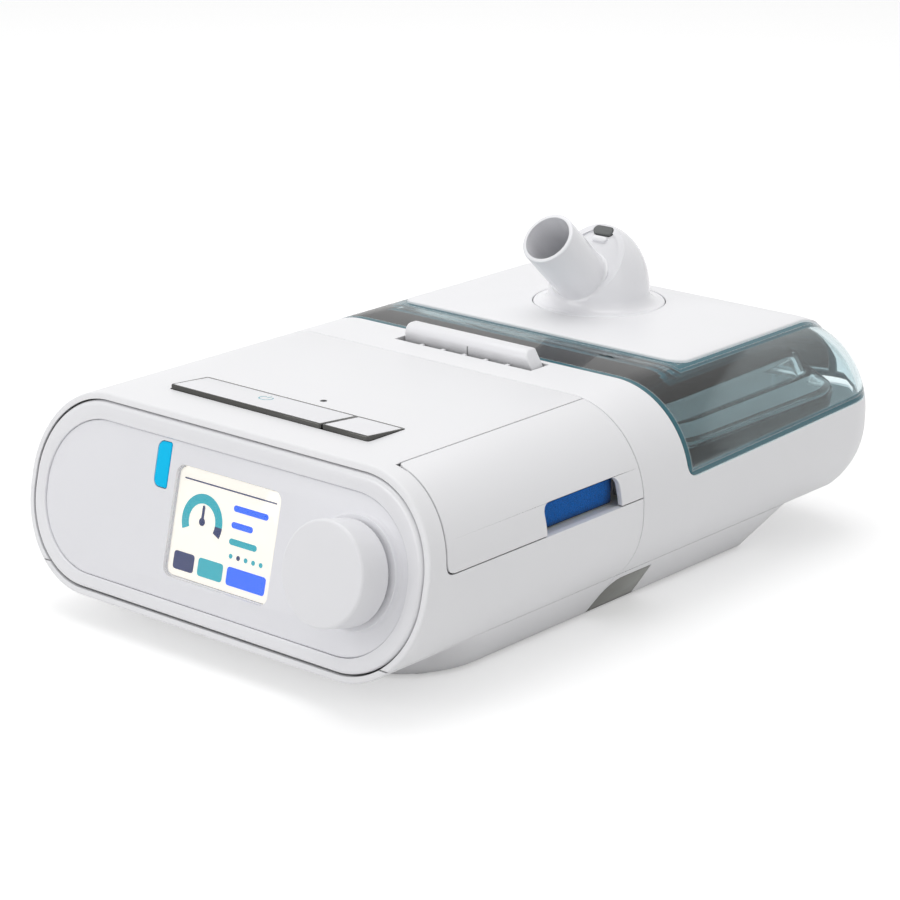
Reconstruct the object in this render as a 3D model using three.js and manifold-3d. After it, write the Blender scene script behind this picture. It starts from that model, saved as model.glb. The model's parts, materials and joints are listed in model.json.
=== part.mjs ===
// Bedside breathing-therapy machine with a docked humidifier, as separate pieces.
// Millimetres, +Z up. The front faces -Y, the origin is the middle of the footprint on the floor.
import * as THREE from 'three';
import { mergeVertices } from 'three/addons/utils/BufferGeometryUtils.js';
import Module from 'manifold-3d';

const wasm = await Module();
wasm.setup();

// Overall size
const width = 193;
const length = 297;
const halfWidth = width / 2;
const frontY = -length / 2;
const rearY = length / 2;
const caseLow = 11;
const caseTop = 83;
const cornerRadius = 34;
const rearRadius = 25;
const leastRadius = 1;
const faceLean = THREE.MathUtils.degToRad(13.5);
const wall = 2.4;
const gap = 0.3;
const overrun = 5;
const cornerSteps = 8;
const arcSteps = 3;
const roundSteps = 32;
const smallSteps = 12;
const weldDistance = 1e-4;

// Face: height of its middle, dial and screen
const faceMidZ = 43.5;
const bezelDepth = 4;
const bezelProud = 0.6;
const bezelBand = 9;
const plateHalfWidth = halfWidth - bezelBand;
const plateLow = -25;
const plateHigh = 31;
const plateRadius = 27;
const plateThickness = 2.6;
const dialRadius = 18.2;
const dialMargin = 22.9;
const dialX = plateHalfWidth - dialMargin;
const dialUp = 4.5;
const dialReach = 17;
const dialBack = 4.4;
const dialWall = 2;
const dialTravel = 1;
const dialEdge = 1.2;
const hubRadius = 6;
const pedestalRadius = 19.6;
const pedestalHeight = 2.4;
const shaftRadius = 3;
const screen = { left: -23.5, right: 27, low: -16.5, high: 23.2, radius: 3.5 };
const lensThickness = 1.4;
const lensSunk = 0.7;
const screenLedge = 1.6;
const lcdThickness = 3;
const strip = { left: -33.9, right: -27.5, low: 13.3, high: 29.5, radius: 1.6 };
const stripProud = 0.2;
const encoderSize = 13;
const plungerRadius = 4.6;
const plungerLength = 1.5;
const boardMargin = { left: 27.5, right: 3.5 };
const displayBoard = {
  left: boardMargin.left - plateHalfWidth, right: plateHalfWidth - boardMargin.right,
  low: -16, high: 24, thickness: 1.6 };
const boardBehind = 9.5;

// Where the outermost point of the tilted dial puts the face
const dialForward = (dialReach - dialEdge) * Math.cos(faceLean)
  + (dialRadius - dialEdge - dialUp) * Math.sin(faceLean) + dialEdge;
const faceMidY = frontY + dialForward;

// Plinth, joint between the two cases, feet
const seamY = -12;
const creaseZ = 19;
const plinthBottom = 1;
const plinthMargin = { side: 26, front: 40.5, rear: 60.5 };
const plinthHalfWidth = halfWidth - plinthMargin.side;
const plinthFront = frontY + plinthMargin.front;
const plinthRear = rearY - plinthMargin.rear;
const plinthSpread = 10;
const plinthFrontRadius = 34;
const plinthRearRadius = 5;
const panRim = 4;
const neckInset = 4.8;
const footInset = { side: 18.5, front: 24, rear: 22 };
const foot = {
  radius: 8, height: 2.6, x: plinthHalfWidth - footInset.side,
  front: plinthFront + footInset.front, rear: plinthRear - footInset.rear };
const screwInset = { side: 10.5, front: 16, rear: 16 };
const screw = {
  headRadius: 3, headHeight: 2.2, shankRadius: 1.5, grip: 9, x: plinthHalfWidth - screwInset.side,
  front: plinthFront + screwInset.front, rear: seamY - screwInset.rear };
const screwBossRadius = 4.6;
const screwBossTop = 30;
const deckRear = 14.5;
const padGap = 0.4;
const pad = { front: seamY + padGap, rear: deckRear, low: 2, high: 19, radius: 8, thickness: 1.5 };

// Keys on the top
const keyPlace = { front: 47.5, length: 19 };
const keys = {
  left: -50.2, right: 46, front: frontY + keyPlace.front,
  rear: frontY + keyPlace.front + keyPlace.length, split: 24, cornerRadius: 1.2 };
const keyRise = 1;
const keyDepth = 5;
const keyBand = 1;
const keyBandDepth = 2.4;
const keyTravel = 1;
const stemRadius = 2.2;
const domeRadius = 4;
const domeHeight = 1.2;
const domeLedge = 0.4;
const keyBoard = { thickness: 1.2, z: 69.8, overhang: 4.8 };
const boardEdge = 3.2;
const boardPostRadius = 2.2;
const sensorGap = 6;
const sensor = { x: 1.9, y: keys.rear + sensorGap, radius: 1, length: 3 };
const sensorProud = 0.2;

// Side door and air inlet
const door = { sideInset: 25.5, bottom: 51, frontInset: 8, frontGap: 0.8, thickness: 2.2, radius: 5, ear: 3 };
const doorBarrel = 2;
const doorPinRadius = 0.8;
const doorPinGap = 0.35;
const inletPlace = { front: 82.5, rear: 12.5 };
const inlet = {
  front: frontY + inletPlace.front, rear: seamY - inletPlace.rear, low: 50.6, high: 62, radius: 3.5 };
const bay = { inset: 6.2, thickness: 1.8, window: 2, front: plinthFront, high: 70 };
const filter = { thickness: 5, margin: 1.4 };
const cardPlace = 62.5;
const cardSlot = { y: frontY + cardPlace, halfHeight: 2.4, halfLength: 12.5, z: 59, depth: 14 };

// Blower and air path
const blowerRoom = { front: 27, rear: 14 };
const blowerFront = faceMidY + blowerRoom.front;
const blowerRear = seamY - blowerRoom.rear;
const blower = {
  x: -24, y: (blowerFront + blowerRear) / 2, radius: (blowerRear - blowerFront) / 2,
  low: 18, split: 36, high: 54, wall: 2 };
const impellerRoom = 8;
const impellerRadius = blower.radius - impellerRoom;
const impellerHub = 9;
const impellerBlades = 11;
const bladeHeight = 8;
const bladeThickness = 1.6;
const impellerDisc = 1.6;
const eyeRadius = 14;
const motorShaftRadius = 1.6;
const magnetRadius = 9;
const statorOuter = 16;
const statorInner = 9.8;
const statorPoles = 6;
const statorHeight = 8;
const slotRadius = 1.55;
const rotorGap = 1.2;
const bladeSweep = THREE.MathUtils.degToRad(-35);
const mount = { inset: 3, band: 5 };
const portX = blower.x + blower.radius;
const portZ = 36;
const portRadius = 11;
const ductWall = 2;
const sealThickness = 2;
const foamPlace = { side: 42.5, front: 44.5, rear: 16, clear: 16 };
const foam = {
  left: portX + foamPlace.clear, right: halfWidth - foamPlace.side,
  front: frontY + foamPlace.front, rear: seamY - foamPlace.rear, high: 61, channel: 9, channelZ: 48 };
const mainBoardPlace = { front: 42.5, rear: 10 };
const mainBoard = {
  left: -54, right: 50, front: frontY + mainBoardPlace.front, rear: seamY - mainBoardPlace.rear,
  z: 64.5, thickness: 1.6, postRun: 56 };
const dcPlace = 28;
const dcInlet = { y: seamY - dcPlace, z: 40, radius: 5.2, bore: 3.6, length: 16, pin: 1.1 };
const plugPlace = { side: 30.5, width: 20 };
const plug = {
  left: plugPlace.side - halfWidth, right: plugPlace.side + plugPlace.width - halfWidth,
  low: 40, high: 48, depth: 8 };

// Humidifier
const partition = 2.4;
const lidWall = 2.6;
const lidEdgeFront = 51.5;
const lidEdgeRear = 55.5;
const lidCornerRadius = 6;
const coverThickness = 2;
const coverRise = 1;
const coverPlace = { side: 27.5, front: 104.5 };
const cover = { half: halfWidth - coverPlace.side, front: rearY - coverPlace.front, radius: 7, low: 58.6 };
const portPlace = 53.8;
const port = { x: -8, y: rearY - portPlace, ring: 26.3, neck: 13.4, bore: 10.4, collar: 3, clear: 0.5 };
const bodyRear = rearY - coverRise;
const hingeInset = 12.5;
const hinge = {
  radius: 2.4, pin: 1.1, pinGap: 0.3, half: 34, ear: 12, zone: halfWidth - hingeInset, drop: 0.4,
  web: 9.6 };
const hingeY = bodyRear + coverRise - hinge.radius;
const latch = {
  half: 31.5, front: 4.6, rear: 11.4, high: 88.6, crown: 3, pivotY: 8, pivotZ: 79, pin: 1.1,
  coil: 6, coilRadius: 2.2, floor: 75 };
const latchRoom = 2;
const latchSlot = { half: latch.half + latchRoom, front: 2, rear: 12 };
const combBars = 5;
const combWidth = 1.4;
const combClear = 1;
const tankPlace = { side: 12.5, front: 6.5, rear: 9.5 };
const tank = {
  half: halfWidth - tankPlace.side, front: deckRear + tankPlace.front, rear: rearY - tankPlace.rear,
  high: 56, radius: 24, wall: 2 };
const tankTaper = 3;
const heaterPlace = { side: 32, end: 25, forward: 2 };
const heater = {
  x: -8, y: (tank.front + tank.rear) / 2 - heaterPlace.forward, halfX: tank.half - heaterPlace.side,
  halfY: (tank.rear - tank.front) / 2 - heaterPlace.end, thickness: 2.4, radius: 12, insulator: 3 };
const vent = 6;
const tankPlate = { thickness: 1.2 };
const tankLid = { rise: 14, slope: 12, wall: 2, sealHeight: 1.4, chimney: 14, intakeRun: 14 };
const intake = { z: 65, radius: 5 };

// Elbow
const elbowTilt = THREE.MathUtils.degToRad(42.5);
const elbow = {
  disc: 2, hoodRadius: 21.6, hoodHeight: 26.6, flare: 6, baseRadius: 24.4, tube: 11, bore: 9.4,
  faceOut: 18.65, tubeUp: 2.16, tubeLength: 28.2, neckDepth: 7, turn: 7 };
const contact = { halfX: 4.6, halfY: 1.8, up: 23.4, depth: 3, proud: 0.5 };
const elbowCatch = { halfX: 3.6, halfY: 1.2, up: 19.6, depth: 2.4, proud: 0.4 };

// Materials
const finish = (color, roughness, metalness = 0) =>
  new THREE.MeshStandardMaterial({ color, roughness, metalness });
const clear = (color, opacity) =>
  new THREE.MeshStandardMaterial({ color, roughness: 0.06, metalness: 0, transparent: true, opacity });
const caseWhite = finish(0xececee, 0.42);
const glossWhite = finish(0xf4f4f6, 0.16);
const plateGrey = finish(0xdfdfe3, 0.3);
const keyWhite = finish(0xe8e8ea, 0.35);
const brightMetal = finish(0xc9ccd0, 0.12, 1);
const steel = finish(0xb4b8bc, 0.3, 1);
const blackPlastic = finish(0x17181b, 0.5);
const smokeGrey = finish(0x6f706d, 0.35);
const greyRubber = finish(0x55585a, 0.8);
const softWhite = finish(0xdcdcdc, 0.8);
const accentBlue = finish(0x12b4f0, 0.25);
const filterBlue = finish(0x0055a5, 0.95);
const boardGreen = finish(0x1d5b3a, 0.5);
const foamGrey = finish(0x4c4f52, 0.95);
const copper = finish(0xb06a3a, 0.35, 1);
const aluminium = finish(0xbfc2c4, 0.35, 1);
const lensGlass = clear(0xf6f8f8, 0.25);
const smokeClear = clear(0x7fa3aa, 0.4);
const tankClear = clear(0xd8e6e8, 0.35);
const screenCream = finish(0xfbf6ea, 0.4);

const part = new THREE.Group();

// A closed mesh from three.js becomes a solid that can be joined and cut
function solidOf(geometry) {
  const bare = geometry.clone();
  for (const name of ['normal', 'uv']) bare.deleteAttribute(name);
  const welded = mergeVertices(bare, weldDistance);
  return new wasm.Manifold(new wasm.Mesh({
    numProp: 3,
    vertProperties: new Float32Array(welded.getAttribute('position').array),
    triVerts: new Uint32Array(welded.getIndex().array),
  }));
}

function geometryOf(solid) {
  const mesh = solid.getMesh();
  const geometry = new THREE.BufferGeometry();
  geometry.setAttribute('position', new THREE.BufferAttribute(mesh.vertProperties, mesh.numProp));
  geometry.setIndex(new THREE.BufferAttribute(mesh.triVerts, 1));
  geometry.computeVertexNormals();
  return geometry;
}

function piece(name, solid, material, holder = part) {
  const mesh = new THREE.Mesh(geometryOf(solid), material);
  mesh.name = name;
  holder.add(mesh);
  return mesh;
}

const join = (first, ...others) => others.reduce((whole, other) => whole.add(other), first);
const cut = (first, ...others) => others.reduce((whole, other) => whole.subtract(other), first);

// Directions in which a flat outline is pushed out
const upward = new THREE.Matrix4();
const sideways = new THREE.Matrix4().makeBasis(
  new THREE.Vector3(0, 1, 0), new THREE.Vector3(0, 0, 1), new THREE.Vector3(1, 0, 0));

// An outline pushed out from one height to another along the third direction of a frame
function prism(shape, from, to, frame = upward) {
  const geometry = new THREE.ExtrudeGeometry(shape, {
    depth: to - from, bevelEnabled: false, curveSegments: arcSteps });
  geometry.translate(0, 0, from);
  geometry.applyMatrix4(frame);
  return solidOf(geometry);
}

function box(x0, x1, y0, y1, z0, z1) {
  const geometry = new THREE.BoxGeometry(x1 - x0, y1 - y0, z1 - z0);
  geometry.translate((x0 + x1) / 2, (y0 + y1) / 2, (z0 + z1) / 2);
  return solidOf(geometry);
}

// A round bar between two points, with its own radius at each end
function rod(from, to, radius, endRadius = radius, steps = smallSteps) {
  const start = new THREE.Vector3(...from);
  const run = new THREE.Vector3(...to).sub(start);
  const geometry = new THREE.CylinderGeometry(endRadius, radius, run.length(), steps);
  geometry.translate(0, run.length() / 2, 0);
  geometry.applyQuaternion(new THREE.Quaternion().setFromUnitVectors(
    new THREE.Vector3(0, 1, 0), run.clone().normalize()));
  geometry.translate(...start.toArray());
  return solidOf(geometry);
}

const post = (x, y, z0, z1, radius, steps = smallSteps) => rod([x, y, z0], [x, y, z1], radius, radius, steps);
const tube = (x, y, z0, z1, outer, inner, steps = smallSteps) =>
  cut(post(x, y, z0, z1, outer, steps), post(x, y, z0 - overrun, z1 + overrun, inner, steps));

// A rectangle with rounded corners, one radius or four from the low left one round
function roundedRect(left, right, low, high, radius) {
  const radii = Array.isArray(radius) ? radius : [radius, radius, radius, radius];
  const [lowLeft, lowRight, highRight, highLeft] = radii;
  const shape = new THREE.Shape();
  shape.moveTo(left + lowLeft, low);
  shape.absarc(right - lowRight, low + lowRight, lowRight, -Math.PI / 2, 0);
  shape.absarc(right - highRight, high - highRight, highRight, 0, Math.PI / 2);
  shape.absarc(left + highLeft, high - highLeft, highLeft, Math.PI / 2, Math.PI);
  shape.absarc(left + lowLeft, low + lowLeft, lowLeft, Math.PI, Math.PI * 3 / 2);
  return shape;
}

// A skin over rings with equal counts of points, closed by a flat cap at each end
function loft(rings, capAxes) {
  const count = rings[0].length;
  const positions = rings.flat().flatMap((point) => point.toArray());
  const triangles = [];
  for (let ring = 0; ring + 1 < rings.length; ring++) {
    for (let i = 0; i < count; i++) {
      const next = (i + 1) % count;
      const [a, b] = [ring * count + i, ring * count + next];
      triangles.push([a, b, b + count], [a, b + count, a + count]);
    }
  }
  const flat = rings[0].map((point) => new THREE.Vector2(point[capAxes[0]], point[capAxes[1]]));
  const turn = Math.sign(THREE.ShapeUtils.area(flat));
  for (const face of THREE.ShapeUtils.triangulateShape(flat, [])) {
    const same = Math.sign(THREE.ShapeUtils.area(face.map((i) => flat[i]))) === turn;
    const [a, b, c] = same ? face : [face[0], face[2], face[1]];
    const last = (rings.length - 1) * count;
    triangles.push([a, c, b], [a + last, b + last, c + last]);
  }
  const corner = (i) => new THREE.Vector3().fromArray(positions, 3 * i);
  const volume = triangles.reduce((sum, [a, b, c]) => sum + corner(a).dot(corner(b).cross(corner(c))), 0);
  const geometry = new THREE.BufferGeometry();
  geometry.setAttribute('position', new THREE.Float32BufferAttribute(positions, 3));
  geometry.setIndex((volume < 0 ? triangles.map(([a, b, c]) => [a, c, b]) : triangles).flat());
  return solidOf(geometry);
}

// The round-cornered section of both cases, drawn in by an inset
function sectionPoints(inset) {
  const half = halfWidth - inset;
  const low = caseLow + inset;
  const high = caseTop - inset;
  const radius = Math.max(cornerRadius - inset, leastRadius);
  const centres = [[half - radius, high - radius], [radius - half, high - radius],
    [radius - half, low + radius], [half - radius, low + radius]];
  return centres.flatMap(([x, z], quarter) => Array.from({ length: cornerSteps + 1 }, (_, step) => {
    const angle = (quarter + step / cornerSteps) * Math.PI / 2;
    return [x + radius * Math.cos(angle), z + radius * Math.sin(angle)];
  }));
}

const faceY = (z) => faceMidY + (z - faceMidZ) * Math.tan(faceLean);
const ringAt = (inset, yOf) => sectionPoints(inset).map(([x, z]) => new THREE.Vector3(x, yOf(z), z));

// The outer form of the cases between two places, drawn in by an inset
function straightForm(inset, frontOf, rearY) {
  return loft([ringAt(inset, frontOf), ringAt(inset, () => rearY)], ['x', 'z']);
}

function roundedForm(inset, frontY) {
  const radius = rearRadius - inset;
  const rings = [ringAt(inset, () => frontY)];
  for (let step = 0; step <= cornerSteps; step++) {
    const angle = step / cornerSteps * Math.PI / 2;
    const y = bodyRear - rearRadius + radius * Math.sin(angle);
    rings.push(ringAt(inset + radius * (1 - Math.cos(angle)), () => y));
  }
  return loft(rings, ['x', 'z']);
}

// Half the width of the section at a height below its lower corner centres
function halfWidthAt(z) {
  const drop = caseLow + cornerRadius - z;
  return halfWidth - cornerRadius + Math.sqrt(cornerRadius ** 2 - drop ** 2);
}

// The plinth narrows from the crease down to the floor
function plinthRing(z, inset) {
  const share = (z - plinthBottom) / (creaseZ - plinthBottom);
  const half = THREE.MathUtils.lerp(plinthHalfWidth, halfWidthAt(creaseZ), share) - inset;
  const front = plinthFront - plinthSpread * share + inset;
  const rear = plinthRear + plinthSpread * share - inset;
  const frontRadius = plinthFrontRadius - inset;
  const rearCorner = Math.max(plinthRearRadius - inset, leastRadius);
  const shape = roundedRect(-half, half, front, rear, [frontRadius, frontRadius, rearCorner, rearCorner]);
  return shape.extractPoints(arcSteps).shape.map((point) => new THREE.Vector3(point.x, point.y, z));
}

const plinthForm = (inset, low, high) => loft([plinthRing(low, inset), plinthRing(high, inset)], ['x', 'y']);
const everywhere = width + length;
const below = (z) => box(-everywhere, everywhere, -everywhere, everywhere, -everywhere, z);
const above = (z) => box(-everywhere, everywhere, -everywhere, everywhere, z, everywhere);
const aheadOf = (y) => box(-everywhere, everywhere, -everywhere, y, -everywhere, everywhere);
const behind = (y) => box(-everywhere, everywhere, y, everywhere, -everywhere, everywhere);

// A hollow form with an open front, shared by both cases
const sleeve = (rearY) => cut(
  straightForm(0, faceY, rearY),
  straightForm(wall, (z) => faceY(z) - overrun, rearY - wall));

// Feet, screws and the pockets that they sit in
const footPlaces = [[-foot.x, foot.front], [foot.x, foot.front], [-foot.x, foot.rear], [foot.x, foot.rear]];
const screwPlaces = [[-screw.x, screw.front], [screw.x, screw.front],
  [-screw.x, screw.rear], [screw.x, screw.rear]];
const headSeat = plinthBottom + wall;
const pocketTop = foot.height + gap;
const floorTop = pocketTop + wall;
const footPocket = ([x, y]) => post(x, y, plinthBottom - overrun, pocketTop, foot.radius + gap);
const footBoss = ([x, y]) => post(x, y, plinthBottom, floorTop, foot.radius + gap + wall);

// Side door, its hinge line and the hole that it closes
const doorAngle = Math.asin((cornerRadius - door.sideInset) / cornerRadius);
const barrelX = halfWidth - cornerRadius + (cornerRadius - doorBarrel) * Math.sin(doorAngle);
const barrelZ = caseTop - cornerRadius + (cornerRadius - doorBarrel) * Math.cos(doorAngle);
const barrelFront = faceY(barrelZ) + door.frontInset;
const barrelRear = seamY - door.ear - wall;
const caseRear = seamY - gap / 2;
const alongBarrel = (front, rear, radius) => rod([barrelX, front, barrelZ], [barrelX, rear, barrelZ], radius);

function doorRegion(clearance, left, frontClearance = clearance) {
  const low = door.bottom + clearance;
  const front = (z) => faceY(z) + door.frontInset + frontClearance;
  const shape = new THREE.Shape();
  shape.moveTo(caseRear, low);
  shape.lineTo(caseRear, caseTop + overrun);
  shape.lineTo(front(caseTop + overrun), caseTop + overrun);
  shape.lineTo(front(low + door.radius), low + door.radius);
  shape.quadraticCurveTo(front(low), low, front(low) + door.radius, low);
  return prism(shape, left, halfWidth + overrun, sideways);
}

const portHole = () => rod([portX, seamY - wall * 2 - overrun, portZ], [portX, seamY + overrun, portZ],
  portRadius + ductWall + gap);

function upperCase() {
  const skin = cut(doorRegion(0, barrelX), straightForm(door.thickness + gap, (z) => faceY(z) - overrun, 0));
  const hingeRoom = alongBarrel(barrelFront - gap, barrelRear + gap, doorBarrel + gap);
  const swingRoom = cut(
    doorRegion(0, barrelX - doorBarrel - gap),
    straightForm(doorBarrel, (z) => faceY(z) - overrun, 0),
    box(barrelX + doorBarrel, everywhere, -everywhere, everywhere, -everywhere, everywhere));
  const ears = join(
    alongBarrel(barrelFront - door.ear - gap, barrelFront - gap, doorBarrel),
    alongBarrel(barrelRear + gap, caseRear - wall / 2, doorBarrel));
  const pinBore = alongBarrel(barrelFront - door.ear, caseRear - wall, doorPinRadius + doorPinGap);
  const posts = screwPlaces.map(([x, y]) =>
    post(x, y, screwBossTop + gap, caseTop - wall / 2, screwBossRadius));
  const pilots = screwPlaces.map(([x, y]) =>
    post(x, y, screwBossTop - overrun, screwBossTop + screw.grip, screw.shankRadius + gap));
  const hangers = [
    ...boardPosts.map(([x, y]) => post(x, y, mainBoard.z + mainBoard.thickness + gap, caseTop - wall / 2,
      boardPostRadius)),
    ...keyPosts.map(([x, y]) => post(x, y, keyBoard.z + keyBoard.thickness + gap, caseTop - wall / 2,
      boardPostRadius)),
  ];
  const keySlot = prism(roundedRect(keys.left - gap, keys.right + gap, keys.front - gap, keys.rear + gap,
    keys.cornerRadius), caseTop - wall - overrun, caseTop + overrun);
  const sensorHole = post(sensor.x, sensor.y, caseTop - wall - overrun, caseTop + overrun,
    sensor.radius + gap);
  const plugHole = box(plug.left - gap, plug.right + gap, seamY - wall - overrun, seamY + overrun,
    plug.low - gap, plug.high + gap);
  const dcHole = rod([-halfWidth - overrun, dcInlet.y, dcInlet.z],
    [wall + overrun - halfWidth, dcInlet.y, dcInlet.z], dcInlet.radius + gap);
  const shell = cut(sleeve(caseRear), below(creaseZ + gap / 2), skin, hingeRoom, swingRoom);
  return cut(join(shell, ears, ...posts, ...hangers), pinBore, ...pilots,
    keySlot, sensorHole, portHole(), plugHole, dcHole);
}

function lowerCase() {
  const behindBezel = (z) => faceY(z) + bezelDepth + gap;
  const outer = join(
    cut(sleeve(caseRear), above(creaseZ - gap / 2)),
    plinthForm(0, plinthBottom, creaseZ - gap / 2).intersect(aheadOf(caseRear)));
  const rim = cut(straightForm(wall + gap, behindBezel, caseRear - wall - gap),
    straightForm(wall * 2 + gap, (z) => faceY(z), caseRear - wall * 2 - gap),
    below(creaseZ - wall), above(creaseZ + panRim));
  const hollow = plinthForm(wall, headSeat, creaseZ).intersect(aheadOf(caseRear - wall));
  const shelf = straightForm(wall / 2, behindBezel, caseRear - wall / 2)
    .intersect(box(-everywhere, everywhere, -everywhere, everywhere, creaseZ - wall, creaseZ - gap / 2));
  const ledge = cut(shelf, straightForm(wall * 2 + gap, (z) => faceY(z), caseRear - wall * 2 - gap));
  const bosses = screwPlaces.map(([x, y]) => post(x, y, plinthBottom, screwBossTop, screwBossRadius));
  const bores = screwPlaces.flatMap(([x, y]) => [
    post(x, y, plinthBottom - overrun, headSeat + screw.headHeight + gap, screw.headRadius + gap),
    post(x, y, plinthBottom, screwBossTop + overrun, screw.shankRadius + gap)]);
  const feet = footPlaces.slice(0, 2);
  return cut(join(cut(outer, hollow), ledge, rim, ...bosses, ...feet.map(footBoss)),
    ...bores, ...feet.map(footPocket), portHole());
}

function screwPiece([x, y]) {
  const headTop = headSeat + screw.headHeight;
  return join(post(x, y, headSeat, headTop, screw.headRadius),
    post(x, y, headSeat + screw.headHeight / 2, screwBossTop + screw.grip - gap, screw.shankRadius));
}

function addCases() {
  piece('upper_case', upperCase(), caseWhite);
  piece('lower_case', lowerCase(), caseWhite);
  footPlaces.forEach(([x, y], i) =>
    piece(`rubber_foot_${i + 1}`, post(x, y, 0, foot.height, foot.radius), greyRubber));
  screwPlaces.forEach((place, i) => piece(`case_screw_${i + 1}`, screwPiece(place), steel));
}

// Pieces on the leaning face are drawn in its own frame: X across, Y up the face, Z outwards
const faceGroup = new THREE.Group();
faceGroup.position.set(0, faceMidY, faceMidZ);
faceGroup.quaternion.setFromRotationMatrix(new THREE.Matrix4().makeBasis(
  new THREE.Vector3(1, 0, 0),
  new THREE.Vector3(0, Math.sin(faceLean), Math.cos(faceLean)),
  new THREE.Vector3(0, -Math.cos(faceLean), Math.sin(faceLean))));
part.add(faceGroup);

// The section of the case as the face cuts it, at a depth along the case
function faceRing(inset, depth) {
  return sectionPoints(inset).map(([x, z]) => new THREE.Vector3(
    x,
    (z - faceMidZ) / Math.cos(faceLean) + depth * Math.sin(faceLean),
    -depth * Math.cos(faceLean)));
}

const plateShape = (grow) => roundedRect(-plateHalfWidth - grow, plateHalfWidth + grow,
  plateLow - grow, plateHigh + grow, plateRadius + grow);
const windowShape = (grow) => roundedRect(screen.left - grow, screen.right + grow,
  screen.low - grow, screen.high + grow, Math.max(screen.radius + grow, leastRadius));
const stripShape = (grow) => roundedRect(strip.left - grow, strip.right + grow,
  strip.low - grow, strip.high + grow, strip.radius);
const boardShape = () => roundedRect(displayBoard.left, displayBoard.right,
  displayBoard.low, displayBoard.high, leastRadius);

function addFace() {
  const ring = loft([faceRing(wall + gap, -bezelProud), faceRing(wall + gap, bezelDepth)], ['x', 'y']);
  const seat = prism(plateShape(-wall), -overrun * 2, overrun);
  const rebate = prism(plateShape(gap), -plateThickness - gap, overrun);
  piece('front_bezel', cut(ring, seat, rebate), glossWhite, faceGroup);

  const plate = join(prism(plateShape(0), -plateThickness, 0),
    post(dialX, dialUp, -leastRadius, pedestalHeight, pedestalRadius, roundSteps));
  const holes = [
    prism(windowShape(gap), -lensSunk - lensThickness - gap, overrun),
    prism(windowShape(-screenLedge), -overrun, overrun),
    prism(stripShape(gap), -plateThickness / 2 - gap, overrun),
    post(dialX, dialUp, -overrun, overrun, shaftRadius + gap),
  ];
  piece('face_plate', cut(plate, ...holes), plateGrey, faceGroup);
  piece('screen_lens', prism(windowShape(0), -lensSunk - lensThickness, -lensSunk), lensGlass, faceGroup);
  const lcdTop = -plateThickness - gap;
  piece('lcd_module', prism(windowShape(0), lcdTop - lcdThickness, lcdTop), screenCream, faceGroup);
  piece('accent_strip', prism(stripShape(0), -plateThickness / 2, stripProud), accentBlue, faceGroup);
  const boardTop = -boardBehind;
  piece('display_board', prism(boardShape(), boardTop - displayBoard.thickness, boardTop), boardGreen,
    faceGroup);

  const half = encoderSize / 2;
  const encoderTop = -plateThickness - gap;
  const encoderLow = boardTop + gap;
  const encoder = cut(box(dialX - half, dialX + half, dialUp - half, dialUp + half, encoderLow, encoderTop),
    post(dialX, dialUp, encoderLow + leastRadius, encoderTop - leastRadius, plungerRadius + gap),
    post(dialX, dialUp, encoderLow + leastRadius, overrun, shaftRadius + gap));
  piece('encoder', encoder, blackPlastic, faceGroup);

  const dialGroup = new THREE.Group();
  dialGroup.position.set(dialX, dialUp, 0);
  faceGroup.add(dialGroup);
  const plungerLow = encoderLow + leastRadius + dialTravel + gap;
  piece('dial_plunger', post(0, 0, plungerLow, plungerLow + plungerLength, plungerRadius), blackPlastic,
    dialGroup);
  const shaftTop = dialReach - dialWall - gap;
  piece('dial_shaft', post(0, 0, plungerLow + plungerLength + gap, shaftTop, shaftRadius), steel, dialGroup);

  const edge = dialEdge;
  const profile = [[0, dialBack], [dialRadius, dialBack], [dialRadius, dialReach - edge]];
  for (let step = 1; step <= arcSteps; step++) {
    const angle = step / arcSteps * Math.PI / 2;
    profile.push([dialRadius - edge + edge * Math.cos(angle), dialReach - edge + edge * Math.sin(angle)]);
  }
  profile.push([0, dialReach]);
  const body = new THREE.LatheGeometry(profile.map(([r, z]) => new THREE.Vector2(r, z)), roundSteps);
  body.rotateX(Math.PI / 2);
  const hollow = tube(0, 0, dialBack - overrun, dialReach - dialWall, dialRadius - dialWall, hubRadius,
    roundSteps);
  const dialSolid = cut(solidOf(body),
    hollow.intersect(box(-dialRadius, dialRadius, -dialRadius, dialRadius, -dialBack, dialReach - dialWall)),
    post(0, 0, -overrun, shaftTop + gap, shaftRadius + gap));
  piece('dial', dialSolid, keyWhite, dialGroup);
}

// Keys on the top: a white cap in a bright metal band, over a dome spring on a small board
const boardPosts = [mainBoard.left, mainBoard.right].flatMap((x) =>
  [mainBoard.rear - boardEdge, mainBoard.rear - mainBoard.postRun].map((y) =>
    [x - Math.sign(x) * boardEdge, y]));
const keyPosts = [keys.left, keys.right].map((x) =>
  [x + Math.sign(x) * boardEdge, (keys.front + keys.rear) / 2]);

function addKey(name, left, right) {
  const key = new THREE.Group();
  key.position.set((left + right) / 2, (keys.front + keys.rear) / 2, caseTop);
  part.add(key);
  const halfX = (right - left) / 2;
  const halfY = (keys.rear - keys.front) / 2;
  const outline = (inset) => roundedRect(inset - halfX, halfX - inset, inset - halfY, halfY - inset,
    keys.cornerRadius - inset / 2);
  const boardTop = keyBoard.z + keyBoard.thickness - caseTop;
  const domeTop = boardTop + domeHeight;
  const capLow = keyRise - keyDepth;
  const bandLow = keyRise - keyBandDepth;
  const cap = join(
    prism(outline(keyBand), capLow, keyRise),
    prism(outline(gap / 2), capLow, bandLow - gap),
    post(0, 0, domeTop + keyTravel + gap, capLow + leastRadius, stemRadius));
  piece(`${name}_key`, cap, keyWhite, key);
  const band = cut(prism(outline(0), bandLow, keyRise), prism(outline(keyBand - gap), bandLow - overrun,
    keyRise + overrun));
  piece(`${name}_key_band`, band, brightMetal, key);
}

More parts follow.
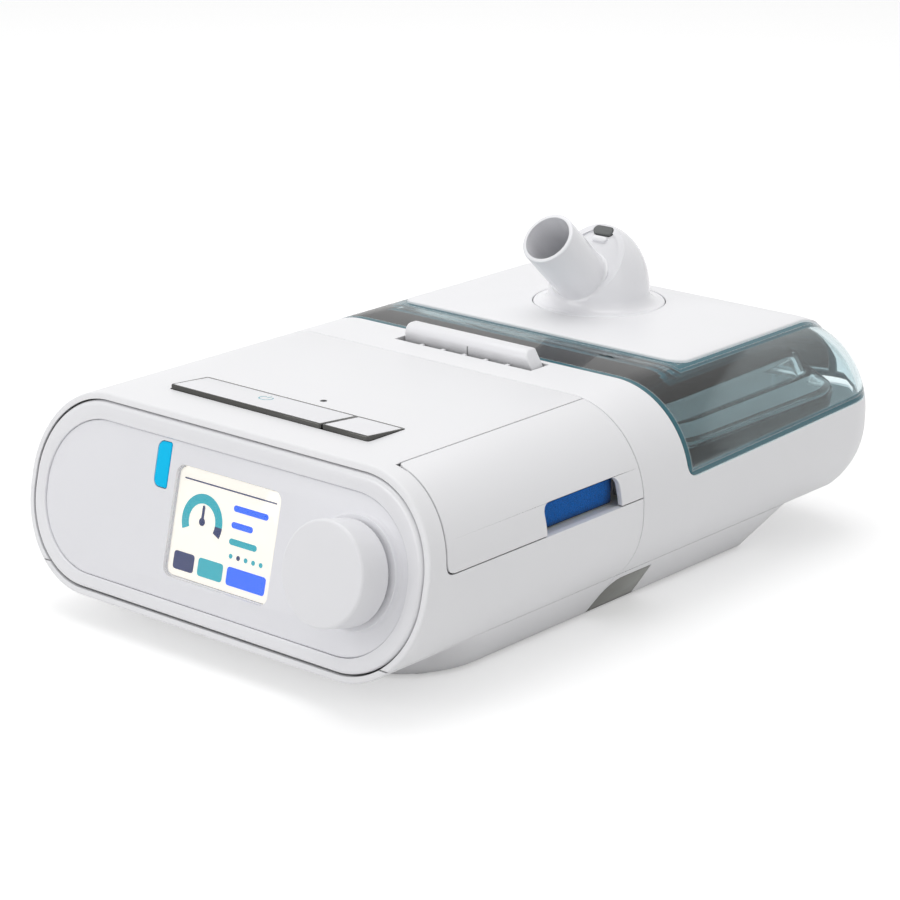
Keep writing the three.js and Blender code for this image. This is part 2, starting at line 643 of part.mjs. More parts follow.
// A dome spring stands under each key's stem
function domeSpring(left, right) {
  const low = keyBoard.z + keyBoard.thickness - domeLedge;
  const [x, y] = [(left + right) / 2, (keys.front + keys.rear) / 2];
  return join(post(x, y, low, low + domeLedge * 2, domeRadius),
    rod([x, y, low + domeLedge], [x, y, low + domeLedge + domeHeight], domeRadius, domeRadius / 2));
}

function addKeys() {
  addKey('therapy', keys.left, keys.split - gap / 2);
  addKey('ramp', keys.split + gap / 2, keys.right);
  const board = box(keys.left - keyBoard.overhang, keys.right + keyBoard.overhang, keys.front + leastRadius,
    keys.rear - leastRadius, keyBoard.z, keyBoard.z + keyBoard.thickness);
  piece('key_board', join(board, domeSpring(keys.left, keys.split), domeSpring(keys.split, keys.right)),
    boardGreen);
  piece('light_sensor_lens', post(sensor.x, sensor.y, caseTop + sensorProud - sensor.length,
    caseTop + sensorProud, sensor.radius), blackPlastic);
}

function addDoor() {
  const skin = cut(
    doorRegion(gap, barrelX, door.frontGap).intersect(straightForm(0, (z) => faceY(z), caseRear)),
    straightForm(door.thickness, (z) => faceY(z) - overrun, seamY + overrun));
  const barrel = alongBarrel(barrelFront, barrelRear, doorBarrel);
  const earRoom = [
    alongBarrel(barrelFront - door.ear - gap * 2, barrelFront, doorBarrel + gap),
    alongBarrel(barrelRear, seamY, doorBarrel + gap)];
  const window = new THREE.Shape();
  window.moveTo(inlet.front, door.bottom - overrun);
  window.lineTo(inlet.rear, door.bottom - overrun);
  window.lineTo(inlet.rear, inlet.high - inlet.radius);
  window.absarc(inlet.rear - inlet.radius, inlet.high - inlet.radius, inlet.radius, 0, Math.PI / 2);
  window.absarc(inlet.front + inlet.radius, inlet.high - inlet.radius, inlet.radius, Math.PI / 2, Math.PI);
  const windowCut = prism(window, barrelX + overrun, halfWidth + overrun, sideways);
  piece('side_door', cut(join(cut(skin, ...earRoom), barrel), windowCut,
    alongBarrel(barrelFront - overrun, barrelRear + overrun, doorPinRadius + doorPinGap)), caseWhite);
  piece('door_pin', alongBarrel(barrelFront - door.ear, caseRear - wall - gap, doorPinRadius), steel);

  const inner = halfWidth - bay.inset - filter.thickness - gap;
  const shelf = cut(
    straightForm(wall + gap, (z) => faceY(z), caseRear - wall - gap),
    box(-everywhere, inner - bay.thickness, -everywhere, everywhere, -everywhere, everywhere),
    above(inlet.low), below(inlet.low - bay.thickness), aheadOf(bay.front));
  const panel = box(inner - bay.thickness, inner, bay.front, caseRear - wall - gap,
    inlet.low - bay.thickness, bay.high);
  const windowHole = box(-everywhere, everywhere, inlet.front + bay.window, inlet.rear - bay.window,
    inlet.low + bay.window, inlet.high - leastRadius);
  const slotHole = box(inner - bay.thickness - cardSlot.depth + wall, inner + overrun,
    cardSlot.y - cardSlot.halfLength, cardSlot.y + cardSlot.halfLength,
    cardSlot.z - cardSlot.halfHeight, cardSlot.z + cardSlot.halfHeight);
  piece('air_filter', box(inner + gap, inner + gap + filter.thickness, inlet.front - filter.margin,
    inlet.rear + filter.margin, inlet.low + gap, inlet.high + filter.margin), filterBlue);
  const socketRight = inner - bay.thickness / 2;
  const socket = box(socketRight - cardSlot.depth, socketRight, cardSlot.y - cardSlot.halfLength - wall,
    cardSlot.y + cardSlot.halfLength + wall, cardSlot.z - cardSlot.halfHeight - wall,
    cardSlot.z + cardSlot.halfHeight + wall);
  piece('filter_bay', cut(join(shelf, panel, socket), windowHole, slotHole), softWhite);
}

// Blower: a volute in two halves round an impeller on its own motor
function voluteHalf(low, high, floorLow, floorHigh) {
  const ductEnd = caseRear - wall - ductWall - sealThickness;
  const outer = join(
    post(blower.x, blower.y, low, high, blower.radius, roundSteps),
    rod([portX, blower.y, portZ], [portX, ductEnd, portZ], portRadius + ductWall));
  const room = join(
    post(blower.x, blower.y, floorLow, floorHigh, blower.radius - blower.wall, roundSteps),
    rod([portX, blower.y, portZ], [portX, ductEnd + overrun, portZ], portRadius));
  return cut(outer, room).intersect(
    box(-everywhere, everywhere, -everywhere, everywhere, low, high));
}

function addBlower() {
  const { x, y, low, high, split, wall: shell } = blower;
  const floor = low + shell;
  piece('blower_lower', cut(voluteHalf(low, split - gap / 2, floor, everywhere),
    post(x, y, low - overrun, floor + overrun, motorShaftRadius + gap)), softWhite);
  piece('blower_upper', cut(voluteHalf(split + gap / 2, high, -everywhere, high - shell),
    post(x, y, high - shell - overrun, high + overrun, eyeRadius)), softWhite);
  const statorLow = floor + gap;
  const stator = tube(x, y, statorLow, statorLow + statorHeight, statorOuter, statorInner, roundSteps);
  const slots = Array.from({ length: statorPoles }, (_, i) => {
    const angle = i / statorPoles * Math.PI * 2;
    const [dx, dy] = [Math.cos(angle), Math.sin(angle)];
    const middle = (statorOuter + statorInner) / 2;
    return post(x + dx * middle, y + dy * middle, statorLow + statorHeight / 2,
      statorLow + statorHeight + overrun, slotRadius);
  });
  piece('motor_stator', cut(stator, ...slots), copper);

  const spinner = new THREE.Group();
  spinner.position.set(x, y, floor);
  part.add(spinner);
  const discLow = statorHeight + rotorGap;
  const impeller = [post(0, 0, discLow, discLow + impellerDisc, impellerRadius, roundSteps),
    post(0, 0, discLow, discLow + impellerDisc + bladeHeight, impellerHub)];
  for (let i = 0; i < impellerBlades; i++) {
    const angle = i / impellerBlades * Math.PI * 2;
    const blade = new THREE.BoxGeometry(impellerRadius - impellerHub, bladeThickness, bladeHeight);
    blade.translate((impellerRadius - impellerHub) / 2, 0, discLow + impellerDisc + bladeHeight / 2 - gap);
    blade.rotateZ(bladeSweep);
    blade.translate(impellerHub - bladeThickness, 0, 0);
    blade.rotateZ(angle);
    impeller.push(solidOf(blade).intersect(
      post(0, 0, discLow, discLow + impellerDisc + bladeHeight, impellerRadius, roundSteps)));
  }
  const shaftTop = discLow + impellerDisc + bladeHeight - gap;
  piece('impeller', cut(join(...impeller), post(0, 0, -overrun, everywhere, motorShaftRadius + gap)),
    blackPlastic, spinner);
  piece('motor_rotor', join(
    post(0, 0, gap - shell, shaftTop, motorShaftRadius),
    post(0, 0, gap * 2, statorHeight, magnetRadius)), steel, spinner);

  piece('blower_mount', cut(
    post(x, y, floorTop + gap, low - gap, blower.radius - mount.inset, roundSteps),
    post(x, y, floorTop - overrun, low + overrun, blower.radius - mount.inset - mount.band, roundSteps)),
  greyRubber);
  const ductFront = caseRear - wall - ductWall - sealThickness + gap;
  piece('outlet_sleeve', cut(
    rod([portX, ductFront, portZ], [portX, caseRear, portZ], portRadius + ductWall),
    rod([portX, ductFront - overrun, portZ], [portX, caseRear + overrun, portZ], portRadius)), greyRubber);
}

function addElectronics() {
  piece('main_board', box(mainBoard.left, mainBoard.right, mainBoard.front, mainBoard.rear, mainBoard.z,
    mainBoard.z + mainBoard.thickness), boardGreen);
  const foamBlock = box(foam.left, foam.right, foam.front, foam.rear, floorTop + gap, foam.high);
  const channel = rod([foam.left - overrun, (foam.front + foam.rear) / 2, foam.channelZ],
    [foam.right + overrun, (foam.front + foam.rear) / 2, foam.channelZ], foam.channel);
  piece('foam_silencer', cut(foamBlock, channel), foamGrey);
  const left = leastRadius - halfWidth;
  const socket = cut(
    join(
      rod([left, dcInlet.y, dcInlet.z], [left + dcInlet.length, dcInlet.y, dcInlet.z], dcInlet.radius),
      rod([left + wall * 2, dcInlet.y, dcInlet.z], [left + dcInlet.length, dcInlet.y, dcInlet.z],
        dcInlet.radius + leastRadius)),
    rod([left - overrun, dcInlet.y, dcInlet.z], [left + dcInlet.length - wall, dcInlet.y, dcInlet.z],
      dcInlet.bore));
  piece('dc_inlet', join(socket, rod([left + leastRadius, dcInlet.y, dcInlet.z],
    [left + dcInlet.length - leastRadius, dcInlet.y, dcInlet.z], dcInlet.pin)), blackPlastic);
  const plugRear = seamY + plug.depth;
  piece('dock_plug', join(
    box(plug.left, plug.right, caseRear - wall - plug.depth, plugRear, plug.low, plug.high),
    box(plug.left - wall, plug.right + wall, caseRear - wall - plug.depth, caseRear - wall - gap,
      plug.low - wall, plug.high + wall)), blackPlastic);
}

// Humidifier
const caseFront = seamY + gap / 2;
const lidFront = deckRear;
function lidProfile(clearance) {
  const front = lidFront + clearance;
  const low = (y) => THREE.MathUtils.mapLinear(y, lidFront, bodyRear, lidEdgeFront, lidEdgeRear) + clearance;
  const shape = new THREE.Shape();
  const rear = bodyRear + overrun;
  const top = caseTop + overrun;
  const radius = lidCornerRadius - clearance;
  shape.moveTo(front, top);
  shape.lineTo(front, low(front) + radius);
  shape.quadraticCurveTo(front, low(front), front + radius, low(front + radius));
  shape.lineTo(rear, low(rear));
  shape.lineTo(rear, top);
  return prism(shape, -everywhere, everywhere, sideways);
}

function coverRegion(grow) {
  return prism(roundedRect(-cover.half - grow, cover.half + grow, cover.front - grow, bodyRear + overrun * 2,
    cover.radius + grow), cover.low - grow, caseTop + overrun);
}

const knuckle = (left, right, radius) =>
  rod([left, hingeY, lidEdgeRear], [right, hingeY, lidEdgeRear], radius);

function humidifierCase() {
  const form = (inset, front) => roundedForm(inset, front);
  const chamber = form(wall, caseFront + wall).intersect(aheadOf(lidFront - partition));
  const tub = form(wall, lidFront);
  const slot = box(-latchSlot.half, latchSlot.half, latchSlot.front, latchSlot.rear, latch.floor,
    caseTop + overrun);
  const pocket = box(-latchSlot.half - wall, latchSlot.half + wall, latchSlot.front - wall,
    latchSlot.rear, latch.floor - wall, caseTop - wall / 2);
  const comb = Array.from({ length: combBars }, (_, i) => {
    const x = THREE.MathUtils.mapLinear(i + 1, 0, combBars + 1, -latch.half, latch.half);
    return box(x - combWidth / 2, x + combWidth / 2, latchSlot.front - wall / 2, latch.front - combClear,
      caseTop - wall, caseTop - gap);
  });
  const hingeRoom = box(-hinge.zone, hinge.zone, bodyRear - rearRadius, everywhere,
    lidEdgeRear - hinge.radius - hinge.drop, everywhere);
  const ears = [-1, 1].map((side) => {
    const [a, b] = [side * (hinge.half + gap), side * (hinge.half + gap + hinge.ear)].sort((p, q) => p - q);
    return cut(join(knuckle(a, b, hinge.radius),
      box(a, b, hingeY - hinge.radius, hingeY + hinge.radius - coverRise, lidEdgeRear - hinge.web,
        lidEdgeRear)), knuckle(a - overrun, b + overrun, hinge.pin + hinge.pinGap));
  });
  const portHole = rod([portX, seamY - overrun, portZ], [portX, caseFront + wall + overrun, portZ],
    portRadius);
  const plugHole = box(plug.left - wall, plug.right + wall, seamY - overrun, caseFront + wall + overrun,
    plug.low - wall, plug.high + wall);
  const intakeHole = rod([portX, lidFront - partition - overrun, intake.z],
    [portX, lidFront + overrun, intake.z], intake.radius + ductWall + gap);
  const underPartition = form(wall, caseFront + wall).intersect(below(creaseZ + wall + gap * 2));
  const shell = cut(form(0, caseFront), chamber, tub, underPartition, lidProfile(0), hingeRoom,
    below(creaseZ + gap / 2));
  return cut(join(cut(join(shell, pocket), slot), ...comb, ...ears), portHole, plugHole, intakeHole,
    rod([-latch.half - wall * 2, latch.pivotY, latch.pivotZ], [latch.half + wall * 2, latch.pivotY,
      latch.pivotZ], latch.pin + gap));
}

function humidifierBase() {
  const front = caseFront + wall + gap;
  const plate = roundedForm(wall + gap, front).intersect(
    box(-everywhere, everywhere, front, everywhere, creaseZ + gap, creaseZ + gap + wall));
  const plinth = plinthForm(0, plinthBottom, creaseZ - gap / 2).intersect(behind(caseFront));
  const neck = plinthForm(neckInset, creaseZ - wall, creaseZ + wall)
    .intersect(roundedForm(wall + gap, front));
  const hollow = plinthForm(neckInset + wall, headSeat, creaseZ).intersect(behind(caseFront + wall));
  const feet = footPlaces.slice(2);
  const body = join(cut(join(plinth, neck), hollow), plate, ...feet.map(footBoss));
  return cut(body, ...feet.map(footPocket), padRegion(gap, 1), padRegion(gap, -1),
    box(heater.x - vent, heater.x + vent, heater.y - vent, heater.y + vent, creaseZ - overrun,
      creaseZ + overrun));
}

// Smooth pads let into the slope of the plinth, one on each side
function padRegion(grow, side) {
  const shape = roundedRect(pad.front - grow, pad.rear + grow, pad.low - grow, pad.high + grow,
    [leastRadius, leastRadius, leastRadius, pad.radius]);
  const band = prism(shape, Math.min(0, side * width), Math.max(0, side * width), sideways);
  return cut(plinthForm(grow ? -leastRadius : 0, plinthBottom, creaseZ - gap / 2),
    plinthForm(pad.thickness + grow, plinthBottom - leastRadius, creaseZ + leastRadius)).intersect(band);
}

function addHumidifier() {
  piece('humidifier_case', humidifierCase(), caseWhite);
  piece('humidifier_base', humidifierBase(), caseWhite);
  piece('grip_pad_right', padRegion(0, 1), smokeGrey);
  piece('grip_pad_left', padRegion(0, -1), smokeGrey);
  const ductFront = caseFront + wall + gap;
  const ductTurnY = ductFront + portRadius + ductWall;
  const air = (grow) => [
    rod([portX, ductFront - (grow ? 0 : overrun), portZ], [portX, ductTurnY, portZ], portRadius + grow),
    post(portX, ductTurnY, portZ, intake.z, Math.min(portRadius, intake.radius) + grow),
    rod([portX, ductTurnY, intake.z], [portX, tank.front - gap + (grow ? 0 : overrun), intake.z],
      intake.radius + grow)];
  piece('air_duct', cut(join(...air(ductWall)), ...air(0)), softWhite);
  const socketFront = caseFront + wall + gap;
  piece('dock_socket', cut(
    box(plug.left - wall, plug.right + wall, socketFront, seamY + plug.depth + wall * 2, plug.low - wall,
      plug.high + wall),
    box(plug.left - gap, plug.right + gap, socketFront - overrun, seamY + plug.depth + gap, plug.low - gap,
      plug.high + gap)), blackPlastic);

  const lidBack = latch.rear;
  const bar = new THREE.Shape();
  bar.moveTo(latch.front, latch.pivotZ);
  bar.absarc(latch.front + latch.crown, latch.high - latch.crown, latch.crown, Math.PI, Math.PI / 2, true);
  bar.lineTo(lidBack, latch.high);
  bar.lineTo(lidBack, latch.pivotZ);
  bar.absarc((latch.front + lidBack) / 2, latch.pivotZ, (lidBack - latch.front) / 2, 0, -Math.PI, true);
  const coilRoom = box(-latch.coil, latch.coil, latch.front - overrun, latch.rear + overrun,
    latch.pivotZ - overrun, latch.pivotZ + latch.coilRadius + gap);
  const trunnion = rod([-latch.half - wall, latch.pivotY, latch.pivotZ],
    [latch.half + wall, latch.pivotY, latch.pivotZ], latch.pin);
  piece('latch_bar', join(cut(prism(bar, -latch.half, latch.half, sideways), coilRoom), trunnion), keyWhite);
  piece('latch_spring', cut(
    rod([gap - latch.coil, latch.pivotY, latch.pivotZ], [latch.coil - gap, latch.pivotY, latch.pivotZ],
      latch.coilRadius),
    rod([-width, latch.pivotY, latch.pivotZ], [width, latch.pivotY, latch.pivotZ], latch.pin + gap)), steel);
}

function addTank() {
  const plateTop = creaseZ + gap + wall;
  const slab = (half, radius, low, high) => prism(roundedRect(heater.x - half[0], heater.x + half[0],
    heater.y - half[1], heater.y + half[1], radius), low, high);
  const heaterHalf = [heater.halfX, heater.halfY];
  const insulatorHalf = heaterHalf.map((size) => size + wall);
  const insulatorTop = plateTop + gap + heater.insulator;
  piece('heater_insulator', slab(insulatorHalf, heater.radius + wall, plateTop + gap, insulatorTop),
    foamGrey);
  const heaterTop = insulatorTop + gap + heater.thickness;
  piece('heater_plate', slab(heaterHalf, heater.radius, insulatorTop + gap, heaterTop), aluminium);
  const tankLow = heaterTop + gap;
  const tankRing = (z, inset, taper) => {
    const half = tank.half - inset - taper;
    return roundedRect(-half, half, tank.front + inset, tank.rear - inset - taper, tank.radius - inset)
      .extractPoints(arcSteps).shape.map((point) => new THREE.Vector3(point.x, point.y, z));
  };
  const tub = cut(
    loft([tankRing(tankLow, 0, tankTaper), tankRing(tank.high, 0, 0)], ['x', 'y']),
    loft([tankRing(tankLow + tank.wall, tank.wall, tankTaper), tankRing(tank.high + overrun, tank.wall, 0)],
      ['x', 'y']),
    slab(insulatorHalf, heater.radius, tankLow - overrun, tankLow + tankPlate.thickness + gap * 2),
    slab(heaterHalf.map((size) => size - wall), heater.radius - wall, tankLow, tankLow + overrun));
  piece('tank_body', tub, tankClear);
  piece('tank_base_plate', slab(heaterHalf, heater.radius, tankLow, tankLow + tankPlate.thickness), steel);
  const sealTop = tank.high + gap + tankLid.sealHeight;
  piece('tank_seal', cut(
    loft([tankRing(tank.high + gap, 0, 0), tankRing(sealTop, 0, 0)], ['x', 'y']),
    loft([tankRing(tank.high - overrun, tank.wall, 0), tankRing(sealTop + overrun, tank.wall, 0)],
      ['x', 'y'])), accentBlue);
  const lidLow = sealTop + gap;
  const lidTop = lidLow + tankLid.rise;
  const chimney = (radius, low, high) => post(port.x, port.y, low, high, radius);
  const lidSolid = cut(
    loft([tankRing(lidLow, 0, 0), tankRing(lidTop, tankLid.slope, 0)], ['x', 'y']),
    loft([tankRing(lidLow - leastRadius, tankLid.wall, 0),
      tankRing(lidTop - tankLid.wall, tankLid.slope + tankLid.wall, 0)], ['x', 'y']),
    chimney(tankLid.chimney, lidLow, lidTop + overrun),
    rod([portX, tank.front - overrun, intake.z], [portX, tank.front + tankLid.intakeRun, intake.z],
      intake.radius));
  piece('tank_lid', lidSolid, tankClear);
}

function addLid() {
  const collarLow = caseTop - lidWall - port.collar;
  const shell = cut(
    roundedForm(0, lidFront + gap),
    roundedForm(lidWall, lidFront - overrun)).intersect(lidProfile(gap));
  const pocket = cut(coverRegion(gap), roundedForm(coverThickness - coverRise + gap, lidFront));
  const collar = post(port.x, port.y, collarLow, caseTop - lidWall / 2, port.neck + port.clear + wall);
  const knuckles = join(knuckle(-hinge.half, hinge.half, hinge.radius),
    box(-hinge.half, hinge.half, hingeY - hinge.radius, hingeY + hinge.radius - coverRise, lidEdgeRear,
      cover.low - gap * 2));
  const pinBore = knuckle(-hinge.half - hinge.ear - gap * 2, hinge.half + hinge.ear + gap * 2,
    hinge.pin + hinge.pinGap);
  const earEnd = hinge.half + hinge.ear + gap * 2;
  const earRoom = [-1, 1].map((side) => knuckle(
    ...[side * hinge.half, side * earEnd].sort((p, q) => p - q), hinge.radius + gap));
  const lidSolid = cut(join(cut(shell, pocket, ...earRoom), collar, knuckles), pinBore,
    post(port.x, port.y, collarLow - overrun, caseTop + overrun, port.neck + port.clear, roundSteps));
  piece('lid_shell', lidSolid, smokeClear);
  const skin = cut(roundedForm(-coverRise, cover.front - overrun),
    roundedForm(coverThickness - coverRise, cover.front - overrun * 2));
  piece('lid_cover', cut(skin.intersect(coverRegion(0)),
    post(port.x, port.y, caseTop - overrun, caseTop + overrun, port.ring + gap, roundSteps)), caseWhite);
  piece('lid_hinge_pin', knuckle(-hinge.half - hinge.ear, hinge.half + hinge.ear, hinge.pin), steel);
}

function addElbow() {
  const group = new THREE.Group();
  const discLow = caseTop - (coverThickness - coverRise);
  group.position.set(port.x, port.y, discLow);
  part.add(group);
  const tilt = new THREE.Matrix4().makeBasis(
    new THREE.Vector3(1, 0, 0),
    new THREE.Vector3(0, Math.sin(elbowTilt), Math.cos(elbowTilt)),
    new THREE.Vector3(0, -Math.cos(elbowTilt), Math.sin(elbowTilt)));
  const at = (up, out) => new THREE.Vector3(0, up, out).applyMatrix4(tilt).toArray();
  const profile = [[0, 0], [port.ring, 0], [port.ring, elbow.disc], [elbow.baseRadius, elbow.disc]];
  for (let step = 1; step <= cornerSteps; step++) {
    const angle = step / cornerSteps * Math.PI / 2;
    profile.push([elbow.hoodRadius * Math.cos(angle - Math.PI / 2 / cornerSteps),
      elbow.flare + elbow.hoodHeight * Math.sin(angle - Math.PI / 2 / cornerSteps)]);
  }
  profile.push([0, elbow.flare + elbow.hoodHeight]);
  const dome = new THREE.LatheGeometry(profile.map(([r, z]) => new THREE.Vector2(r, z)), roundSteps);
  dome.rotateX(Math.PI / 2);
  const ahead = prism(roundedRect(-everywhere, everywhere, -everywhere, everywhere, leastRadius),
    elbow.faceOut, everywhere, tilt).intersect(above(elbow.disc));
  const mouth = elbow.faceOut + elbow.tubeLength;
  const body = join(
    cut(solidOf(dome), ahead),
    post(0, 0, -elbow.neckDepth, leastRadius, port.neck, roundSteps),
    rod(at(elbow.tubeUp, leastRadius), at(elbow.tubeUp, mouth), elbow.tube, elbow.tube, roundSteps));
  const bores = [
    post(0, 0, -elbow.neckDepth - overrun, elbow.turn, port.bore, roundSteps),
    rod(at(elbow.tubeUp, elbow.turn / 2), at(elbow.tubeUp, mouth + overrun), elbow.bore, elbow.bore,
      roundSteps)];
  const seat = (spec, grow) => prism(roundedRect(-spec.halfX - grow, spec.halfX + grow,
    spec.up - spec.halfY - grow, spec.up + spec.halfY + grow, spec.halfY + grow),
  elbow.faceOut - spec.depth - grow, elbow.faceOut + overrun * Math.sign(grow) + spec.proud, tilt);
  const catchPiece = seat(elbowCatch, 0);
  piece('elbow', join(cut(body, ...bores, seat(contact, gap)), catchPiece), glossWhite, group);
  piece('elbow_contact', seat(contact, 0), greyRubber, group);
}

addCases();
addFace();
addKeys();
addDoor();
addBlower();
addElectronics();
addHumidifier();
addTank();
addLid();
addElbow();

export default part;
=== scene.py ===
"""The looks of a bedside breathing-therapy machine with a docked humidifier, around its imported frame."""
import json
import math

import bmesh
import bpy
from bpy.props import FloatProperty, FloatVectorProperty, IntProperty, PointerProperty
from mathutils import Matrix, Vector


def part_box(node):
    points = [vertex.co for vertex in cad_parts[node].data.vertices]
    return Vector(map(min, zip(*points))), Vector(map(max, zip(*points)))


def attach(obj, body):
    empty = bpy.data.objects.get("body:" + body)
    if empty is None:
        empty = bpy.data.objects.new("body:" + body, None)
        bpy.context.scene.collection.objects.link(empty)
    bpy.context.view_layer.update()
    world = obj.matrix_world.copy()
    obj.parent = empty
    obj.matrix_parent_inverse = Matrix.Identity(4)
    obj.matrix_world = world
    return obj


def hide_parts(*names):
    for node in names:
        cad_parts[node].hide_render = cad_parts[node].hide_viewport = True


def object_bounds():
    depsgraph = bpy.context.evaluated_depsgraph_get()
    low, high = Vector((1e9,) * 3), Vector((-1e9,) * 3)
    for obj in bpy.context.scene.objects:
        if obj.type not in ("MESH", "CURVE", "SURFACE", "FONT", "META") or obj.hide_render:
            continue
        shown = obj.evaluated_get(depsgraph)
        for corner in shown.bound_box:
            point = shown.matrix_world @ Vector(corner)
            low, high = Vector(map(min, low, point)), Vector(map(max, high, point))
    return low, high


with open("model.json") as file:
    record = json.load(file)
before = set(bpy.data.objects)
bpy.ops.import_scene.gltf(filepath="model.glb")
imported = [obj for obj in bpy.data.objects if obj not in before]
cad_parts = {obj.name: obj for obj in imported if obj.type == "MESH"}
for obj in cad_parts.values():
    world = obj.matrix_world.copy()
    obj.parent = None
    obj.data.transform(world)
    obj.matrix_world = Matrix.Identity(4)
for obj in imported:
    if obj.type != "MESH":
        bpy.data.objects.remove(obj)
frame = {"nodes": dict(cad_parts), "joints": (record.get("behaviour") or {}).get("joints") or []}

bl_info = {
    "name": "Breathing Machine",
    "version": (1, 0, 0),
    "blender": (4, 5, 0),
    "location": "View3D > Sidebar > Breathing Machine",
    "description": "Models and finishes the machine's pieces around its frame",
    "category": "Object",
}

CAD_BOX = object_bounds()
JOINTS = {joint["name"]: joint for joint in frame["joints"]}


def axis_of(joint):
    return Vector(JOINTS[joint]["axis"])


def pivot_of(joint):
    return Vector(JOINTS[joint]["pos_m"])


# The leaning face has its own directions: across, up the face and out of it
OUT = axis_of("dial_turn").normalized()
ACROSS = Vector((1, 0, 0))
UP = OUT.cross(ACROSS)
DIAL_MIDDLE = pivot_of("dial_turn")
CASE_LOW_CORNER, CASE_HIGH_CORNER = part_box("upper_case")
HALF_WIDTH = CASE_HIGH_CORNER.x
CASE_TOP = CASE_HIGH_CORNER.z
CASE_REAR = CASE_HIGH_CORNER.y
CREASE = CASE_LOW_CORNER.z
# The seam between a shell and its plinth is drawn this narrow: it shows as a soft edge, hardly as a line
CREASE_EDGE = 0.00012
HUMIDIFIER_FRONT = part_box("humidifier_case")[0].y
LID_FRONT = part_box("lid_shell")[0].y
PLINTH_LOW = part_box("lower_case")[0].z
BEYOND = 2 * (CAD_BOX[1] - CAD_BOX[0]).length
# Points closer than this are one
SAME = 1e-6
# A few open edges don't show: with more than these, a cut has gone wrong
OPEN_EDGES = 12


# Sizes that a user would change, each set once
def length(name, description, default):
    return FloatProperty(name=name, description=description, default=default, unit="LENGTH", precision=4)


def hue(name, description, default):
    return FloatVectorProperty(name=name, description=description, default=default, size=3, min=0, max=1,
                               subtype="COLOR_GAMMA")


def srgb(code):
    """A hex colour as shares of red, green and blue."""
    return tuple(int(code[i:i + 2], 16) / 255 for i in (0, 2, 4))


class CaseSizes(bpy.types.PropertyGroup):
    low: length("Underside", "Height of the round body's lowest line", 0.011)
    corner: length("Corner radius", "Radius of the body's four long corners", 0.034)
    rear_corner: length("Rear radius", "Radius of the humidifier's rear edge", 0.025)
    wall: length("Wall", "Thickness of the moulded shells", 0.0024)
    gap: length("Gap", "Gap between neighbouring pieces", 0.0003)
    edge: length("Edge round", "Rounding of moulded edges", 0.00035)
    lip: length("Lip round", "Rounding of the rim round the face", 0.0009)
    corner_steps: IntProperty(name="Corner steps", description="Faces round each long corner", default=24)
    turn_steps: IntProperty(name="Turn steps", description="Faces round a turned piece", default=96)


class FaceSizes(bpy.types.PropertyGroup):
    middle: length("Face middle", "How far the face's middle lies below the dial, up the face", 0.0045)
    bezel_proud: length("Bezel proud", "How far the bezel stands out of the face", 0.0006)
    bezel_depth: length("Bezel depth", "Depth of the bezel behind the face", 0.004)
    bezel_round: length("Bezel round", "Rounding of the bezel's outer edge", 0.0018)
    plate_half: length("Plate half width", "Half the width of the grey plate", 0.0875)
    plate_low: length("Plate low", "Lowest line of the plate from the face's middle", -0.025)
    plate_high: length("Plate high", "Highest line of the plate from the face's middle", 0.031)
    plate_corner: length("Plate corner", "Radius of the plate's corners", 0.027)
    plate_thickness: length("Plate thickness", "Thickness of the plate", 0.0026)
    plate_round: length("Plate round", "Rounding of the plate's edge", 0.0006)
    window_left: length("Window left", "Left side of the display window", -0.0235)
    window_right: length("Window right", "Right side of the display window", 0.027)
    window_low: length("Window low", "Low side of the display window", -0.0165)
    window_high: length("Window high", "High side of the display window", 0.0232)
    window_corner: length("Window corner", "Radius of the window's corners", 0.0035)
    window_ledge: length("Window ledge", "Ledge behind the window's edge", 0.0004)
    lens_sunk: length("Lens sunk", "How deep the lens lies", 0.0007)
    lens_thickness: length("Lens thickness", "Thickness of the lens", 0.0014)
    display_depth: length("Display depth", "Thickness of the display", 0.003)
    strip_left: length("Strip left", "Left side of the status strip", -0.0339)
    strip_right: length("Strip right", "Right side of the status strip", -0.0275)
    strip_low: length("Strip low", "Low end of the status strip", 0.0133)
    strip_high: length("Strip high", "High end of the status strip", 0.0295)
    strip_corner: length("Strip corner", "Radius of the strip's corners", 0.0018)
    strip_proud: length("Strip proud", "How far the strip stands out", 0.0002)
    pedestal: length("Pedestal radius", "Radius of the flare under the dial", 0.0196)
    pedestal_height: length("Pedestal height", "Height of the flare under the dial", 0.0024)
    shaft: length("Shaft radius", "Radius of the dial's shaft", 0.003)


class DialSizes(bpy.types.PropertyGroup):
    radius: length("Radius", "Radius of the dial", 0.0182)
    reach: length("Reach", "How far the dial stands off the plate", 0.017)
    back: length("Back", "Gap between plate and dial", 0.0044)
    wall: length("Wall", "Thickness of the dial's skin", 0.002)
    edge: length("Edge", "Rounding of the dial's front edge", 0.0011)
    hub: length("Hub", "Radius of the hub inside", 0.006)


class KeySizes(bpy.types.PropertyGroup):
    split: length("Split", "Line between the two keys", 0.024)
    band: length("Band", "Width of the bright band", 0.0007)
    rise_front: length("Front rise", "How far the keys' front edge stands up", 0.0018)
    rise_rear: length("Rear rise", "How far the keys' rear edge stands up", 0.0002)
    corner: length("Corner", "Radius of the keys' corners", 0.0012)
    icon_radius: length("Icon radius", "Radius of the power symbol", 0.0027)
    icon_line: length("Icon line", "Line width of the power symbol", 0.00035)
    sensor_radius: length("Sensor radius", "Radius of the light sensor", 0.001)


